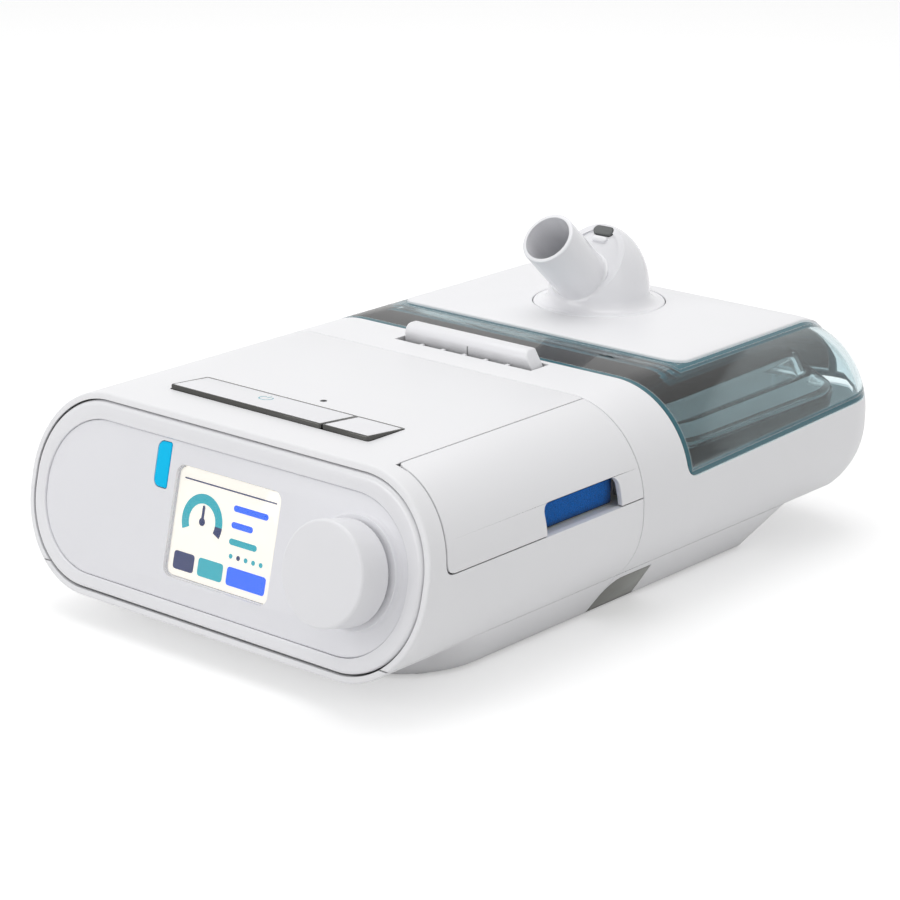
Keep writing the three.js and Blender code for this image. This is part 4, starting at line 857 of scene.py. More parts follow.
FINISHES = {}
KEPT_NODES = {
    "steel": ("case_screw_1", "case_screw_2", "case_screw_3", "case_screw_4", "door_pin", "motor_rotor",
              "dial_shaft", "latch_spring", "tank_base_plate", "lid_hinge_pin"),
    "soft_white": ("filter_bay", "blower_lower", "blower_upper", "air_duct"),
    "black_plastic": ("impeller", "dc_inlet", "dock_plug", "encoder", "dial_plunger", "dock_socket"),
    "grey_rubber": ("blower_mount", "outlet_sleeve"),
    "board_green": ("main_board", "display_board", "key_board"),
    "foam_grey": ("foam_silencer", "heater_insulator"),
    "copper": ("motor_stator",),
    "aluminium": ("heater_plate",),
}


class MACHINE_OT_finishes(bpy.types.Operator):
    """Builds the materials and puts them on the frame's inner pieces"""
    bl_idname = "machine.finishes"
    bl_label = "Finishes"

    def execute(self, context):
        FINISHES.update(make_finishes())
        for finish, nodes in KEPT_NODES.items():
            for name in nodes:
                for slot in frame["nodes"][name].material_slots:
                    slot.material = FINISHES[finish]
        return {"FINISHED"}


def directly_seen(tree):
    """One for rays from the camera, a gloss or a clear wall, none for those that only light."""
    ray = add_node(tree, "LightPath").outputs
    either = add_node(tree, "Math", {0: ray["Is Camera Ray"], 1: ray["Is Glossy Ray"]}, operation="MAXIMUM")
    return add_node(tree, "Math", {0: either, 1: ray["Is Transmission Ray"]}, operation="MAXIMUM")


def lay_floor():
    pick_only()
    bpy.ops.mesh.primitive_plane_add(size=FLOOR_SIZE, location=(0, 0, 0))
    floor = settle("studio_floor")
    material, tree, _ = start_material("white_sweep")
    lift = add_node(tree, "Math", {0: directly_seen(tree), 1: FLOOR_LIFT}, operation="MULTIPLY")
    surfaced(material, {
        "Base Color": linear(srgb("E6E6E6")), "Roughness": 0.9, "Specular IOR Level": 0.1,
        "Emission Color": (1, 1, 1, 1), "Emission Strength": lift})
    floor.data.materials.append(material)


def light_room():
    """A white room that lights softly, with lamps that point at the machine's middle."""
    world = bpy.data.worlds.new("studio")
    bpy.context.scene.world = world
    world.use_nodes = True
    tree = world.node_tree
    tree.nodes.clear()
    strength = add_node(tree, "MapRange", {
        "Value": directly_seen(tree), "To Min": WORLD_LIGHT, "To Max": 1})
    sky = add_node(tree, "Background", {"Color": (1, 1, 1, 1), "Strength": strength})
    add_node(tree, "OutputWorld", {"Surface": sky})
    middle = Vector((0, 0, CASE_TOP / 2))
    for name, place, width, height, power in LAMPS:
        place = Vector(place)
        data = bpy.data.lights.new(name, "AREA")
        data.shape = "RECTANGLE"
        data.size = width
        data.size_y = height
        data.energy = power
        lamp = bpy.data.objects.new(name, data)
        lamp.location = place
        lamp.rotation_euler = (middle - place).to_track_quat("-Z", "Y").to_euler()
        bpy.context.scene.collection.objects.link(lamp)


def place_camera():
    data = bpy.data.cameras.new("photo_view")
    data.sensor_width = 36
    data.lens = CAMERA_LENS
    camera = bpy.data.objects.new("photo_view", data)
    turn = math.radians(CAMERA_TURN)
    rise = math.radians(CAMERA_RISE)
    back = Vector((math.sin(turn) * math.cos(rise), -math.cos(turn) * math.cos(rise), math.sin(rise)))
    right = Vector((math.cos(turn), math.sin(turn), 0))
    up = back.cross(right)
    camera.matrix_world = frame_at(
        Vector(CAMERA_AIM) + back * CAMERA_DISTANCE + right * CAMERA_SLIDE[0] + up * CAMERA_SLIDE[1],
        right, up, back)
    bpy.context.scene.collection.objects.link(camera)
    bpy.context.scene.camera = camera


class MACHINE_OT_stage(bpy.types.Operator):
    """Sets up the floor, the soft studio light and the camera"""
    bl_idname = "machine.stage"
    bl_label = "Studio"

    def execute(self, context):
        lay_floor()
        light_room()
        place_camera()
        context.scene.view_settings.view_transform = "Standard"
        return {"FINISHED"}


# The photograph's camera: aim, angles in degrees, distance and the small slide of the frame
CAMERA_AIM = (0, 0.0395, 0.0435)
CAMERA_TURN = 40.835
CAMERA_RISE = 17.823
CAMERA_DISTANCE = 1.12787
CAMERA_SLIDE = (-0.02933, -0.00698)
CAMERA_LENS = 116.45
# How strongly the room lights the machine, and how much the floor is lifted towards white where it is seen
WORLD_LIGHT = 0.56
FLOOR_LIFT = 0.4
FLOOR_SIZE = 12
# Each lamp's name, place, width, height and power in watts
LAMPS = (
    ("top_softbox", (-0.2, 0.1, 1.3), 1.2, 1.2, 7.5),
    ("front_softbox", (-0.6, -1.5, 0.7), 1.0, 0.8, 5.5),
    ("side_softbox", (1.6, -0.2, 0.6), 0.9, 0.7, 1.2),
)


# Shared forms of the two cases
def case_form(name, inset=0.0, front=None, rear=0.0, lean=0.0, rounded=False):
    """The body's long form drawn in by an inset. Without a front it ends on the leaning face."""
    case = sizes("case")
    half = HALF_WIDTH - inset
    start = CAD_BOX[0].y - case.corner if front is None else front
    piece = block(name, (-half, start, case.low + inset), (half, rear, CASE_TOP - inset))
    soften(piece, along((0, 1, 0)), case.corner - inset, case.corner_steps)
    if rounded:
        soften(piece, upright(rear), case.rear_corner - inset, case.corner_steps)
    if front is None:
        slice_off(piece, face_matrix().translation + Vector((0, lean, 0)), OUT)
    return piece


def humidifier_form(name, inset=0.0, front=None):
    start = HUMIDIFIER_FRONT if front is None else front
    return case_form(name, inset, start, MACHINE_REAR - inset, rounded=True)


def case_room():
    """The hollow inside the therapy unit's two shells."""
    case = sizes("case")
    return case_form("room", case.wall, rear=CASE_REAR - case.wall, lean=-case.corner)


def splay(piece, height, middle, aside, endways):
    """Moves the corners at a height outwards, before and behind a line across the machine."""
    for side in (-1, 1):
        for ahead in (True, False):
            slide(piece, "VERT", lambda vert: abs(vert.co.z - height) < SAME and vert.co.x * side > 0
                  and (vert.co.y < middle) == ahead, (side * aside, -endways if ahead else endways, 0))


def plinth_form(name, inset, low, high, front=None, rear=None):
    """The plinth: a rounded slab whose sides slope outwards to the crease."""
    plinth = sizes("plinth")
    case = sizes("case")
    rise = CREASE - plinth.slope_from
    drop = case.low + case.corner - CREASE
    half_at_crease = HALF_WIDTH - case.corner + math.sqrt(case.corner ** 2 - drop ** 2)
    lean = (half_at_crease - plinth.half) / rise
    spread = plinth.spread / rise
    at_low, at_high = low - plinth.slope_from, high - plinth.slope_from
    half = plinth.half - inset + lean * at_low
    start = plinth.front + inset - spread * at_low
    end = plinth.rear - inset + spread * at_low
    front_radius = plinth.front_corner - inset
    rear_radius = max(plinth.rear_corner - inset, NEAR)
    piece = tile(name, (-half, start, low), (half, end, high),
                 (front_radius, front_radius, rear_radius, rear_radius), steps=16)
    splay(piece, high, 0, lean * (at_high - at_low), spread * (at_high - at_low))
    if rear is not None:
        slice_off(piece, (0, rear, 0), (0, 1, 0))
    if front is not None:
        slice_off(piece, (0, front, 0), (0, -1, 0))
    return piece


def door_region(name, grow, left, front_grow=None):
    """The side door's outline pushed through the case's side."""
    door = sizes("door")
    low = door.bottom + grow
    top = CASE_TOP + sizes("case").corner
    ahead = door.front_inset + (grow if front_grow is None else front_grow)
    start = (face_y(low + door.corner, ahead), low + door.corner)
    bend = (face_y(low, ahead), low)
    end = (bend[0] + door.corner, low)
    outline = [(CASE_REAR, low), (CASE_REAR, top), (face_y(top, ahead), top)] + swept(start, bend, end, 8)
    region = prism(name, outline, left, HALF_WIDTH + sizes("case").corner, SIDEWAYS)
    # The upper corner's radius stays this small, since the open door stands in that corner of its opening
    radius = door.top_corner
    front = face_y(CASE_TOP, ahead)
    corner = block("corner", (left - NEAR, front - radius, CASE_TOP - radius),
                   (left + radius, front + radius, top + NEAR))
    round_part = drum("round_part", radius, (left + radius, front + radius, 0),
                      (left + radius, front + radius, top + radius))
    return carve(region, carve(corner, round_part))


# How far the fixed hinge ear is drawn in under the door's skin
EAR_COVER = 0.001
# The door's gap to the case at its front
DOOR_FRONT_GAP = 0.0008
# The filter mat's flat border at its sides, foot and top, how far it bulges, and its rounded edge
MAT_SIZES = (0.004, 0.002, 0.001, 0.0004, 0.0008)


def hinge_line(name, radius, front, rear):
    hinge = pivot_of("door_hinge")
    return drum(name, radius, (hinge.x, front, hinge.z), (hinge.x, rear, hinge.z))


def sharp(angle, *more):
    """A test for edges that turn by more than an angle and pass further tests of their middle."""
    limit = math.radians(angle)

    def test(edge):
        if len(edge.link_faces) != 2 or edge.calc_face_angle(0) < limit:
            return False
        middle = (edge.verts[0].co + edge.verts[1].co) / 2
        return all(check(middle) for check in more)
    return test


def posts(places, low, high, radius):
    return [drum("post", radius, (x, y, low), (x, y, high)) for x, y in places]


def centre_of(node):
    low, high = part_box(node)
    return (low + high) / 2


# The body's rear, drawn in by a millimetre so that the cover over it stays within the frame's box
MACHINE_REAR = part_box("humidifier_case")[1].y - 0.001
AIR_PORT = centre_of("outlet_sleeve")


def air_hole(radius, front, rear, height=None):
    """A round hole along the machine in line with the air port."""
    height = AIR_PORT.z if height is None else height
    return drum("air_hole", radius, (AIR_PORT.x, front, height), (AIR_PORT.x, rear, height))


def lid_hinge_bar(radius, left, right):
    """A round bar across the machine on the lid's hinge line."""
    hinge = pivot_of("lid_hinge")
    return drum("hinge_bar", radius, (left, hinge.y, hinge.z), (right, hinge.y, hinge.z))


# What a cutter reaches past the surface that it cuts, and how near counts as at an edge
PAST = 0.01
NEAR = 0.001
# Rounding of small edges
FINE_EDGE = 0.0003
SMALL_EDGE = 0.0004
# Screw posts: radii of post, bore and head, and the heights where the parts of each half end
SCREWS = [tuple(centre_of(f"case_screw_{i}").xy) for i in range(1, 5)]
SCREW_POST = 0.0046
SCREW_BORE = 0.0018
SCREW_HEAD = 0.0033
SCREW_HEAD_TOP = 0.0059
LOWER_POST_TOP = 0.030
LOWER_BORE_TOP = 0.031
UPPER_POST_FOOT = 0.0303
UPPER_BORE_FOOT = 0.0295
UPPER_BORE_TOP = 0.039
# Foot posts: the boss in the shell and the pocket that the foot is pressed into
FEET = [tuple(centre_of(f"rubber_foot_{i}").xy) for i in range(1, 5)]
FOOT_POST = 0.0107
FOOT_POST_TOP = 0.0053
FOOT_POCKET = 0.0083
FOOT_POCKET_TOP = 0.0029
# Radii of the holes for the air, the power socket and the lid's and latch's pins
CASE_PORT = 0.0133
HUMIDIFIER_PORT = 0.011
INTAKE = 0.0073
POWER_HOLE = 0.0055
PIN_BORE = 0.0014
DOCK_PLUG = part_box("dock_plug")
DC_SOCKET = centre_of("dc_inlet")
KEY_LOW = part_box("therapy_key_band")[0]
KEY_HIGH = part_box("ramp_key_band")[1]
LIGHT_SENSOR = centre_of("light_sensor_lens")
ELBOW_PIVOT = pivot_of("elbow_swivel")


class MACHINE_OT_upper_case(bpy.types.Operator):
    """Models the therapy unit's upper shell with its rim, door opening and key slot"""
    bl_idname = "machine.upper_case"
    bl_label = "Upper Case"

    def execute(self, context):
        case = sizes("case")
        door = sizes("door")
        keys = sizes("keys")
        shell = case_form("upper_case_shell", rear=CASE_REAR)
        slice_off(shell, (0, 0, CREASE), (0, 0, -1))
        soften(shell, in_plane(face_matrix().translation, OUT), case.lip, 5)
        soften(shell, upright(CASE_REAR), case.edge, 3)
        carve(shell, case_room())
        soften(shell, both(level(CREASE), sharp(50)), CREASE_EDGE, 2)

        hinge = pivot_of("door_hinge")
        knuckle = door.barrel * math.sqrt(2) + case.gap
        front = face_y(hinge.z, door.front_inset)
        rear = CASE_REAR - door.ear - case.wall
        left = hinge.x - door.barrel - case.gap
        rooms = [carve(door_region("opening", 0, left), case_form("keep", depth, rear=0, lean=-case.corner))
                 for depth in (door.thickness + case.gap, door.barrel)]
        carve(shell, *rooms, hinge_line("hinge_room", knuckle, front, CASE_REAR + case.gap))
        ear = door.barrel - EAR_COVER
        web = block("ear_web", (hinge.x, rear + case.gap, hinge.z - knuckle - case.wall),
                    (hinge.x + ear * 0.9, CASE_REAR - case.wall / 2, hinge.z))
        weld(shell, hinge_line("ear", ear, rear + case.gap, CASE_REAR - case.wall / 2), web)
        carve(shell, hinge_line("pin_bore", door.barrel / 2, front - door.ear, CASE_REAR - case.wall))

        weld(shell, *posts(SCREWS, UPPER_POST_FOOT, CASE_TOP - case.wall / 2, SCREW_POST))
        carve(shell, *posts(SCREWS, UPPER_BORE_FOOT, UPPER_BORE_TOP, SCREW_BORE))
        slot = tile("key_slot", (KEY_LOW.x - case.gap, KEY_LOW.y - case.gap, CASE_TOP - case.wall * 3),
                    (KEY_HIGH.x + case.gap, KEY_HIGH.y + case.gap, CASE_TOP + case.wall), keys.corner, 6)
        sensor = posts([LIGHT_SENSOR.xy], CASE_TOP - case.wall * 3, CASE_TOP + case.wall,
                       keys.sensor_radius + case.gap)
        low, top = DOCK_PLUG
        margin = case.wall - case.gap
        plug = block("plug_hole", (low.x + margin, CASE_REAR - case.wall * 2, low.z + margin),
                     (top.x - margin, CASE_REAR + case.wall, top.z - margin))
        port = air_hole(CASE_PORT, CASE_REAR - PAST, CASE_REAR + PAST)
        power = drum("power_hole", POWER_HOLE, (-HALF_WIDTH - case.wall, DC_SOCKET.y, DC_SOCKET.z),
                     (-HALF_WIDTH + case.wall * 3, DC_SOCKET.y, DC_SOCKET.z))
        carve(shell, slot, plug, port, power, *sensor)
        hand_over(shell, "therapy_unit", "case_white", "upper_case")
        return {"FINISHED"}


class MACHINE_OT_lower_case(bpy.types.Operator):
    """Models the therapy unit's lower tray with its sloping plinth"""
    bl_idname = "machine.lower_case"
    bl_label = "Lower Case"

    def execute(self, context):
        case = sizes("case")
        plinth = sizes("plinth")
        crease = CREASE - CREASE_EDGE
        shell = case_form("lower_case_tray", rear=CASE_REAR)
        slice_off(shell, (0, 0, crease), (0, 0, 1))
        soften(shell, both(in_plane(face_matrix().translation, OUT), other_than(level(crease))), case.lip, 4)
        base = plinth_form("plinth", 0, plinth.slope_from, crease, rear=CASE_REAR)
        soften(base, level(plinth.slope_from), case.edge * 2, 3)
        weld(shell, base)
        carve(shell, case_room(), plinth_form("hollow", case.wall, plinth.slope_from + case.wall,
                                              CREASE + case.wall, rear=CASE_REAR - case.wall))
        weld(shell, *posts(SCREWS, plinth.slope_from, LOWER_POST_TOP, SCREW_POST),
             *posts(FEET[:2], plinth.slope_from, FOOT_POST_TOP, FOOT_POST))
        carve(shell, *posts(SCREWS, 0, SCREW_HEAD_TOP, SCREW_HEAD),
              *posts(SCREWS, 0, LOWER_BORE_TOP, SCREW_BORE),
              *posts(FEET[:2], 0, FOOT_POCKET_TOP, FOOT_POCKET),
              air_hole(CASE_PORT, CASE_REAR - PAST, CASE_REAR + PAST))
        hand_over(shell, "therapy_unit", "case_white", "lower_case")
        return {"FINISHED"}


class MACHINE_OT_feet(bpy.types.Operator):
    """Models the four rubber feet, domed a little and rounded at the rim"""
    bl_idname = "machine.feet"
    bl_label = "Rubber Feet"

    def execute(self, context):
        low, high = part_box("rubber_foot_1")
        radius = (high.x - low.x) / 2
        edge = (high.z - low.z) / 3
        profile = [(0, edge / 4), (radius * 0.4, 0)]
        profile += arc((radius - edge, edge), edge, 270, 360, 5)
        profile += [(radius, high.z), (0, high.z)]
        first = turned("foot", profile)
        for number in range(1, 5):
            name = f"rubber_foot_{number}"
            foot = copy_of(first, f"foot_{number}")
            middle = centre_of(name)
            put_in(foot, Matrix.Translation((middle.x, middle.y, 0)))
            body = "therapy_unit" if number < 3 else "humidifier"
            hand_over(foot, body, "grey_rubber", name)
        bpy.data.objects.remove(first)
        return {"FINISHED"}


def window_tile(name, grow, low, high):
    face = sizes("face")
    return tile(name, (face.window_left - grow, face.window_low - grow, low),
                (face.window_right + grow, face.window_high + grow, high),
                max(face.window_corner + grow, 0.0005), 8, face_matrix())


def strip_tile(name, grow, low, high):
    face = sizes("face")
    return tile(name, (face.strip_left - grow, face.strip_low - grow, low),
                (face.strip_right + grow, face.strip_high + grow, high),
                tuple(face.strip_corner * share + grow for share in (1.5, 0.4, 0.4, 1.5)), 8)


def plate_tile(name, grow, low, high):
    face = sizes("face")
    return tile(name, (-face.plate_half - grow, face.plate_low - grow, low),
                (face.plate_half + grow, face.plate_high + grow, high), face.plate_corner + grow, 24)


class MACHINE_OT_bezel(bpy.types.Operator):
    """Models the glossy ring between the case's rim and the grey plate"""
    bl_idname = "machine.bezel"
    bl_label = "Front Bezel"

    def execute(self, context):
        case = sizes("case")
        face = sizes("face")
        middle = face_matrix().translation
        ring = case_form("front_bezel_ring", case.wall + case.gap * 2, rear=0, lean=-face.bezel_proud)
        slice_off(ring, middle + Vector((0, face.bezel_depth, 0)), -OUT)
        front = middle - Vector((0, face.bezel_proud, 0))
        soften(ring, in_plane(front, OUT), face.bezel_round, 6)
        seat = plate_tile("seat", -case.wall, -face.bezel_depth * 3, face.bezel_depth)
        rebate = plate_tile("rebate", case.gap * 0.5, -face.plate_thickness - case.gap, face.bezel_depth)
        carve(ring, put_in(seat, face_matrix()), put_in(rebate, face_matrix()))
        soften(ring, both(in_plane(front, OUT), sharp(50)), case.edge, 3)
        hand_over(ring, "therapy_unit", "gloss_white", "front_bezel", angle=25)
        return {"FINISHED"}


class MACHINE_OT_plate(bpy.types.Operator):
    """Models the grey face plate with its window, strip slot and dial flare"""
    bl_idname = "machine.plate"
    bl_label = "Face Plate"

    def execute(self, context):
        case = sizes("case")
        face = sizes("face")
        plate = plate_tile("face_plate_panel", 0, -face.plate_thickness, 0)
        soften(plate, level(0), face.plate_round, 4)
        put_in(plate, face_matrix())
        reach = PAST / 2
        flare = 0.0016
        overlap = 0.00006
        foot = 0.0005
        crown = 0.0003
        inner = face.shaft + case.gap
        carve(plate, drum("shaft_hole", inner - overlap, DIAL_MIDDLE - OUT * reach,
                          DIAL_MIDDLE + OUT * reach))
        profile = [(inner, -foot), (face.pedestal + flare, -foot)]
        profile += arc((face.pedestal + flare, flare - overlap), flare, 270, 180, 6)
        profile += arc((face.pedestal - crown, face.pedestal_height - crown), crown, 0, 90, 3)
        profile += [(inner, face.pedestal_height), (inner, -foot)]
        weld(plate, turned("pedestal", profile, dial_matrix()))
        seat = -face.lens_sunk - face.lens_thickness - case.gap
        recess = window_tile("recess", case.gap * 0.5, seat, reach)
        through = window_tile("through", -face.window_ledge, -reach, reach)
        strip = put_in(strip_tile("strip_slot", case.gap, -face.plate_thickness / 2 - case.gap, reach),
                       face_matrix())
        carve(plate, recess, through, strip)
        hand_over(plate, "therapy_unit", "plate_grey", "face_plate")
        return {"FINISHED"}


class MACHINE_OT_strip(bpy.types.Operator):
    """Models the blue status strip, rounded along its edges"""
    bl_idname = "machine.strip"
    bl_label = "Status Strip"

    def execute(self, context):
        face = sizes("face")
        strip = strip_tile("accent_strip_light", 0, -face.plate_thickness / 2, face.strip_proud)
        soften(strip, level(face.strip_proud), SMALL_EDGE, 4)
        put_in(strip, face_matrix())
        hand_over(strip, "therapy_unit", "accent_blue", "accent_strip")
        return {"FINISHED"}


class MACHINE_OT_display(bpy.types.Operator):
    """Models the display, its plain gauge picture and the clear lens over it"""
    bl_idname = "machine.display"
    bl_label = "Display"

    def execute(self, context):
        case = sizes("case")
        face = sizes("face")
        lens = tile("screen_lens_clear",
                    (face.window_left, face.window_low, -face.lens_sunk - face.lens_thickness),
                    (face.window_right, face.window_high, -face.lens_sunk), face.window_corner, 8)
        soften(lens, level(-face.lens_sunk), FINE_EDGE, 3)
        hand_over(put_in(lens, face_matrix()), "therapy_unit", "lens_clear", "screen_lens")
        low = -face.plate_thickness - case.gap - face.display_depth
        top = -face.lens_sunk - face.lens_thickness - case.gap / 2
        edge = face.window_ledge + case.gap / 2
        panel = tile("display_panel", (face.window_left + edge, face.window_low + edge, low),
                     (face.window_right - edge, face.window_high - edge, top), face.window_corner - edge, 8)
        soften(panel, level(top), 0.0002, 2)
        put_in(panel, face_matrix())
        hand_over(panel, "therapy_unit", "screen", "lcd_module", finish="screen_cream")
        for tone, marks in display_marks(top).items():
            mark = gather("display_marks_" + tone, marks)
            hand_over(put_in(mark, face_matrix()), "therapy_unit", "screen", finish="screen_" + tone)
        return {"FINISHED"}


def ring_sector(name, middle, outer, inner, start, end, low, high, steps=40):
    outline = arc(middle, outer, start, end, steps) + arc(middle, inner, end, start, steps)
    return prism(name, outline, low, high)


def pill(name, left, right, low, high, base, top):
    radius = min(right - left, high - low) / 2 - 0.00001
    return tile(name, (left, low, base), (right, high, top), radius, 6)


# The made-up status picture, in metres from the face's middle. The gauge's angles are in degrees.
GAUGE_MIDDLE = (-0.0095, 0.0052)
GAUGE_RADII = (0.0098, 0.0064)
GAUGE_START = 205
GAUGE_SPLIT = -2
GAUGE_END = -25
NEEDLE_HALF = 0.0006
NEEDLE_LENGTH = 0.0058
NEEDLE_HUB = 0.0014
# Bars beside the gauge: each one's share of the full length, and its colour
BARS = ((1.0, "blue"), (0.62, "blue"), (0.8, "teal"))
BAR_LEFT = 0.0045
BAR_LENGTH = 0.0165
BAR_HALF = 0.0011
BAR_TOP = 0.0132
BAR_STEP = 0.0058
# A row of dots, with one marked
DOT = 0.00085
DOTS = 5
DOT_MARKED = 1
DOT_FIRST = (0.0062, -0.0034)
DOT_STEP = 0.0036
# The thin rule over all: left, right, low and high. Then the coloured fields below, each with its ends.
RULE = (-0.0205, 0.0240, 0.0185, 0.0190)
FIELDS = (("navy", -0.0205, -0.0105), ("teal", -0.0085, 0.0035), ("blue", 0.0055, 0.0240))
FIELD_LOW = -0.0135
FIELD_HIGH = -0.0070
FIELD_CORNER = 0.0012
# How deep the marks go into the panel and how far they stand up. What lies on another mark stands higher.
MARK_DEPTH = 0.0001
MARK_RISE = 0.00008
MARK_OVER = 0.00002
HUB_OVER = 0.00003


def display_marks(top):
    """A made-up status picture: a gauge with bars beside it, a row of dots and three coloured fields."""
    base, rise = top - MARK_DEPTH, top + MARK_RISE
    x, y = GAUGE_MIDDLE
    marks = {
        "teal": [ring_sector("gauge", GAUGE_MIDDLE, *GAUGE_RADII, GAUGE_START, GAUGE_END, base, rise)],
        "blue": [],
        "navy": [
            ring_sector("gauge_end", GAUGE_MIDDLE, *GAUGE_RADII, GAUGE_SPLIT, GAUGE_END, base,
                        rise + MARK_OVER, 8),
            pill("needle", x - NEEDLE_HALF, x + NEEDLE_HALF, y, y + NEEDLE_LENGTH, base, rise),
            drum("needle_hub", NEEDLE_HUB, (x, y, base), (x, y, rise + HUB_OVER))],
    }
    for row, (share, tone) in enumerate(BARS):
        y = BAR_TOP - row * BAR_STEP
        marks[tone].append(pill("bar", BAR_LEFT, BAR_LEFT + BAR_LENGTH * share, y - BAR_HALF, y + BAR_HALF,
                                base, rise))
    for i in range(DOTS):
        x = DOT_FIRST[0] + i * DOT_STEP
        spot = drum("spot", DOT, (x, DOT_FIRST[1], base), (x, DOT_FIRST[1], rise))
        marks["navy" if i == DOT_MARKED else "teal"].append(spot)
    marks["navy"].append(pill("rule", *RULE, base, rise))
    for tone, left, right in FIELDS:
        field = tile("field", (left, FIELD_LOW, base), (right, FIELD_HIGH, rise), FIELD_CORNER, 4)
        marks[tone].append(field)
    return marks


class MACHINE_OT_dial(bpy.types.Operator):
    """Turns the dial with its rounded rim and hollow back"""
    bl_idname = "machine.dial"
    bl_label = "Dial"

    def execute(self, context):
        dial = sizes("dial")
        shaft = sizes("face").shaft + sizes("case").gap
        inner = dial.reach - dial.wall
        rim = dial.radius - dial.wall
        small = dial.wall / 8
        profile = [(0, inner), (shaft, inner), (shaft, dial.back), (dial.hub, dial.back), (dial.hub, inner),
                   (rim, inner), (rim, dial.back + small)]
        profile += arc((rim + small, dial.back + small), small, 180, 270, 3)
        profile += arc((dial.radius - small, dial.back + small), small, 270, 360, 3)
        profile += arc((dial.radius - dial.edge, dial.reach - dial.edge), dial.edge, 0, 90, 8)
        profile += [(dial.radius * 0.5, dial.reach + 0.00005), (0, dial.reach + 0.00008)]
        knob = turned("dial_knob", profile, dial_matrix())
        hand_over(knob, "dial", "key_white", "dial", angle=30)
        return {"FINISHED"}


# How deep the bands, caps and stems of the keys reach below the case's top, and the stems' size and stop
BAND_DEPTH = 0.0014
CAP_DEPTH = 0.004
STEM_DEPTH = 0.003
STEM = 0.0022
STEM_STOP = 0.0013
# The power symbol: its place on the key, its open ring's angles in degrees, its depth and its rise
SYMBOL_PLACE = (-0.014, -0.0889)
SYMBOL_ENDS = (125, 415)
SYMBOL_DEPTHS = (-0.0001, 0.00004)
SENSOR_ROUND = 0.0004
SENSOR_RISE = 0.0002


class MACHINE_OT_keys(bpy.types.Operator):
    """Models the two keys in their chrome bands, the power symbol and the light sensor"""
    bl_idname = "machine.keys"
    bl_label = "Top Keys"

    def execute(self, context):
        case = sizes("case")
        keys = sizes("keys")
        slope = (keys.rise_front - keys.rise_rear) / (KEY_HIGH.y - KEY_LOW.y)
        across = Vector((0, slope, 1)).normalized()
        point = (0, KEY_LOW.y, CASE_TOP + keys.rise_front)
        middle = keys.split
        for name, left, right in (("therapy", KEY_LOW.x, middle - case.gap / 2),
                                  ("ramp", middle + case.gap / 2, KEY_HIGH.x)):
            top = CASE_TOP + keys.rise_front * 2
            low_z = CASE_TOP - BAND_DEPTH
            band = tile(f"{name}_band", (left, KEY_LOW.y, low_z), (right, KEY_HIGH.y, top), keys.corner, 8)
            slice_off(band, point, across)
            sloped = in_plane(point, across)
            soften(band, lambda edge: sloped(edge) and (edge.verts[0].co.y + edge.verts[1].co.y) / 2
                   < KEY_HIGH.y - keys.corner * 1.5, keys.band * 0.7, 3)
            inset = keys.band
            carve(band, tile("inside", (left + inset, KEY_LOW.y + inset, low_z - NEAR),
                             (right - inset, KEY_HIGH.y - inset, top + NEAR), keys.corner - inset / 2, 6))
            hand_over(band, f"{name}_key", "bright_metal", f"{name}_key_band")

            inset = keys.band + case.gap / 3
            cap = tile(f"{name}_cap", (left + inset, KEY_LOW.y + inset, CASE_TOP - CAP_DEPTH),
                       (right - inset, KEY_HIGH.y - inset, top), keys.corner - inset / 2, 6)
            slice_off(cap, point, across)
            soften(cap, sloped, 0.00025, 3)
            room = case.gap / 2
            skirt = tile("skirt", (left + room, KEY_LOW.y + room, CASE_TOP - CAP_DEPTH),
                         (right - room, KEY_HIGH.y - room, low_z - case.gap), keys.corner, 6)
            centre = ((left + right) / 2, (KEY_LOW.y + KEY_HIGH.y) / 2)
            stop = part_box("key_board")[1].z + STEM_STOP
            weld(cap, skirt, *posts([centre], stop, CASE_TOP - STEM_DEPTH, STEM))
            hand_over(cap, f"{name}_key", "key_white", f"{name}_key")

        x, y = SYMBOL_PLACE
        height = point[2] - slope * (y - KEY_LOW.y)
        outer = keys.icon_radius
        line = keys.icon_line
        mark = gather("power_symbol", [
            ring_sector("loop", (0, 0), outer, outer - line, *SYMBOL_ENDS, *SYMBOL_DEPTHS),
            pill("stroke", -line / 2, line / 2, outer * 0.15, outer * 1.15, *SYMBOL_DEPTHS)])
        lie = frame_at(Vector((x, y, height)), ACROSS, across.cross(ACROSS), across)
        hand_over(put_in(mark, lie), "therapy_key", "accent_blue", finish="ink_teal")

        radius = keys.sensor_radius
        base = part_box("light_sensor_lens")[0].z
        top = CASE_TOP + SENSOR_RISE
        profile = [(0, base), (radius, base), (radius, top - SENSOR_ROUND)]
        profile += arc((radius - SENSOR_ROUND, top - SENSOR_ROUND), SENSOR_ROUND, 0, 90, 4) + [(0, top)]
        lens = turned("light_sensor_dome", profile, Matrix.Translation((LIGHT_SENSOR.x, LIGHT_SENSOR.y, 0)))
        hand_over(lens, "therapy_unit", "black_plastic", "light_sensor_lens")
        return {"FINISHED"}


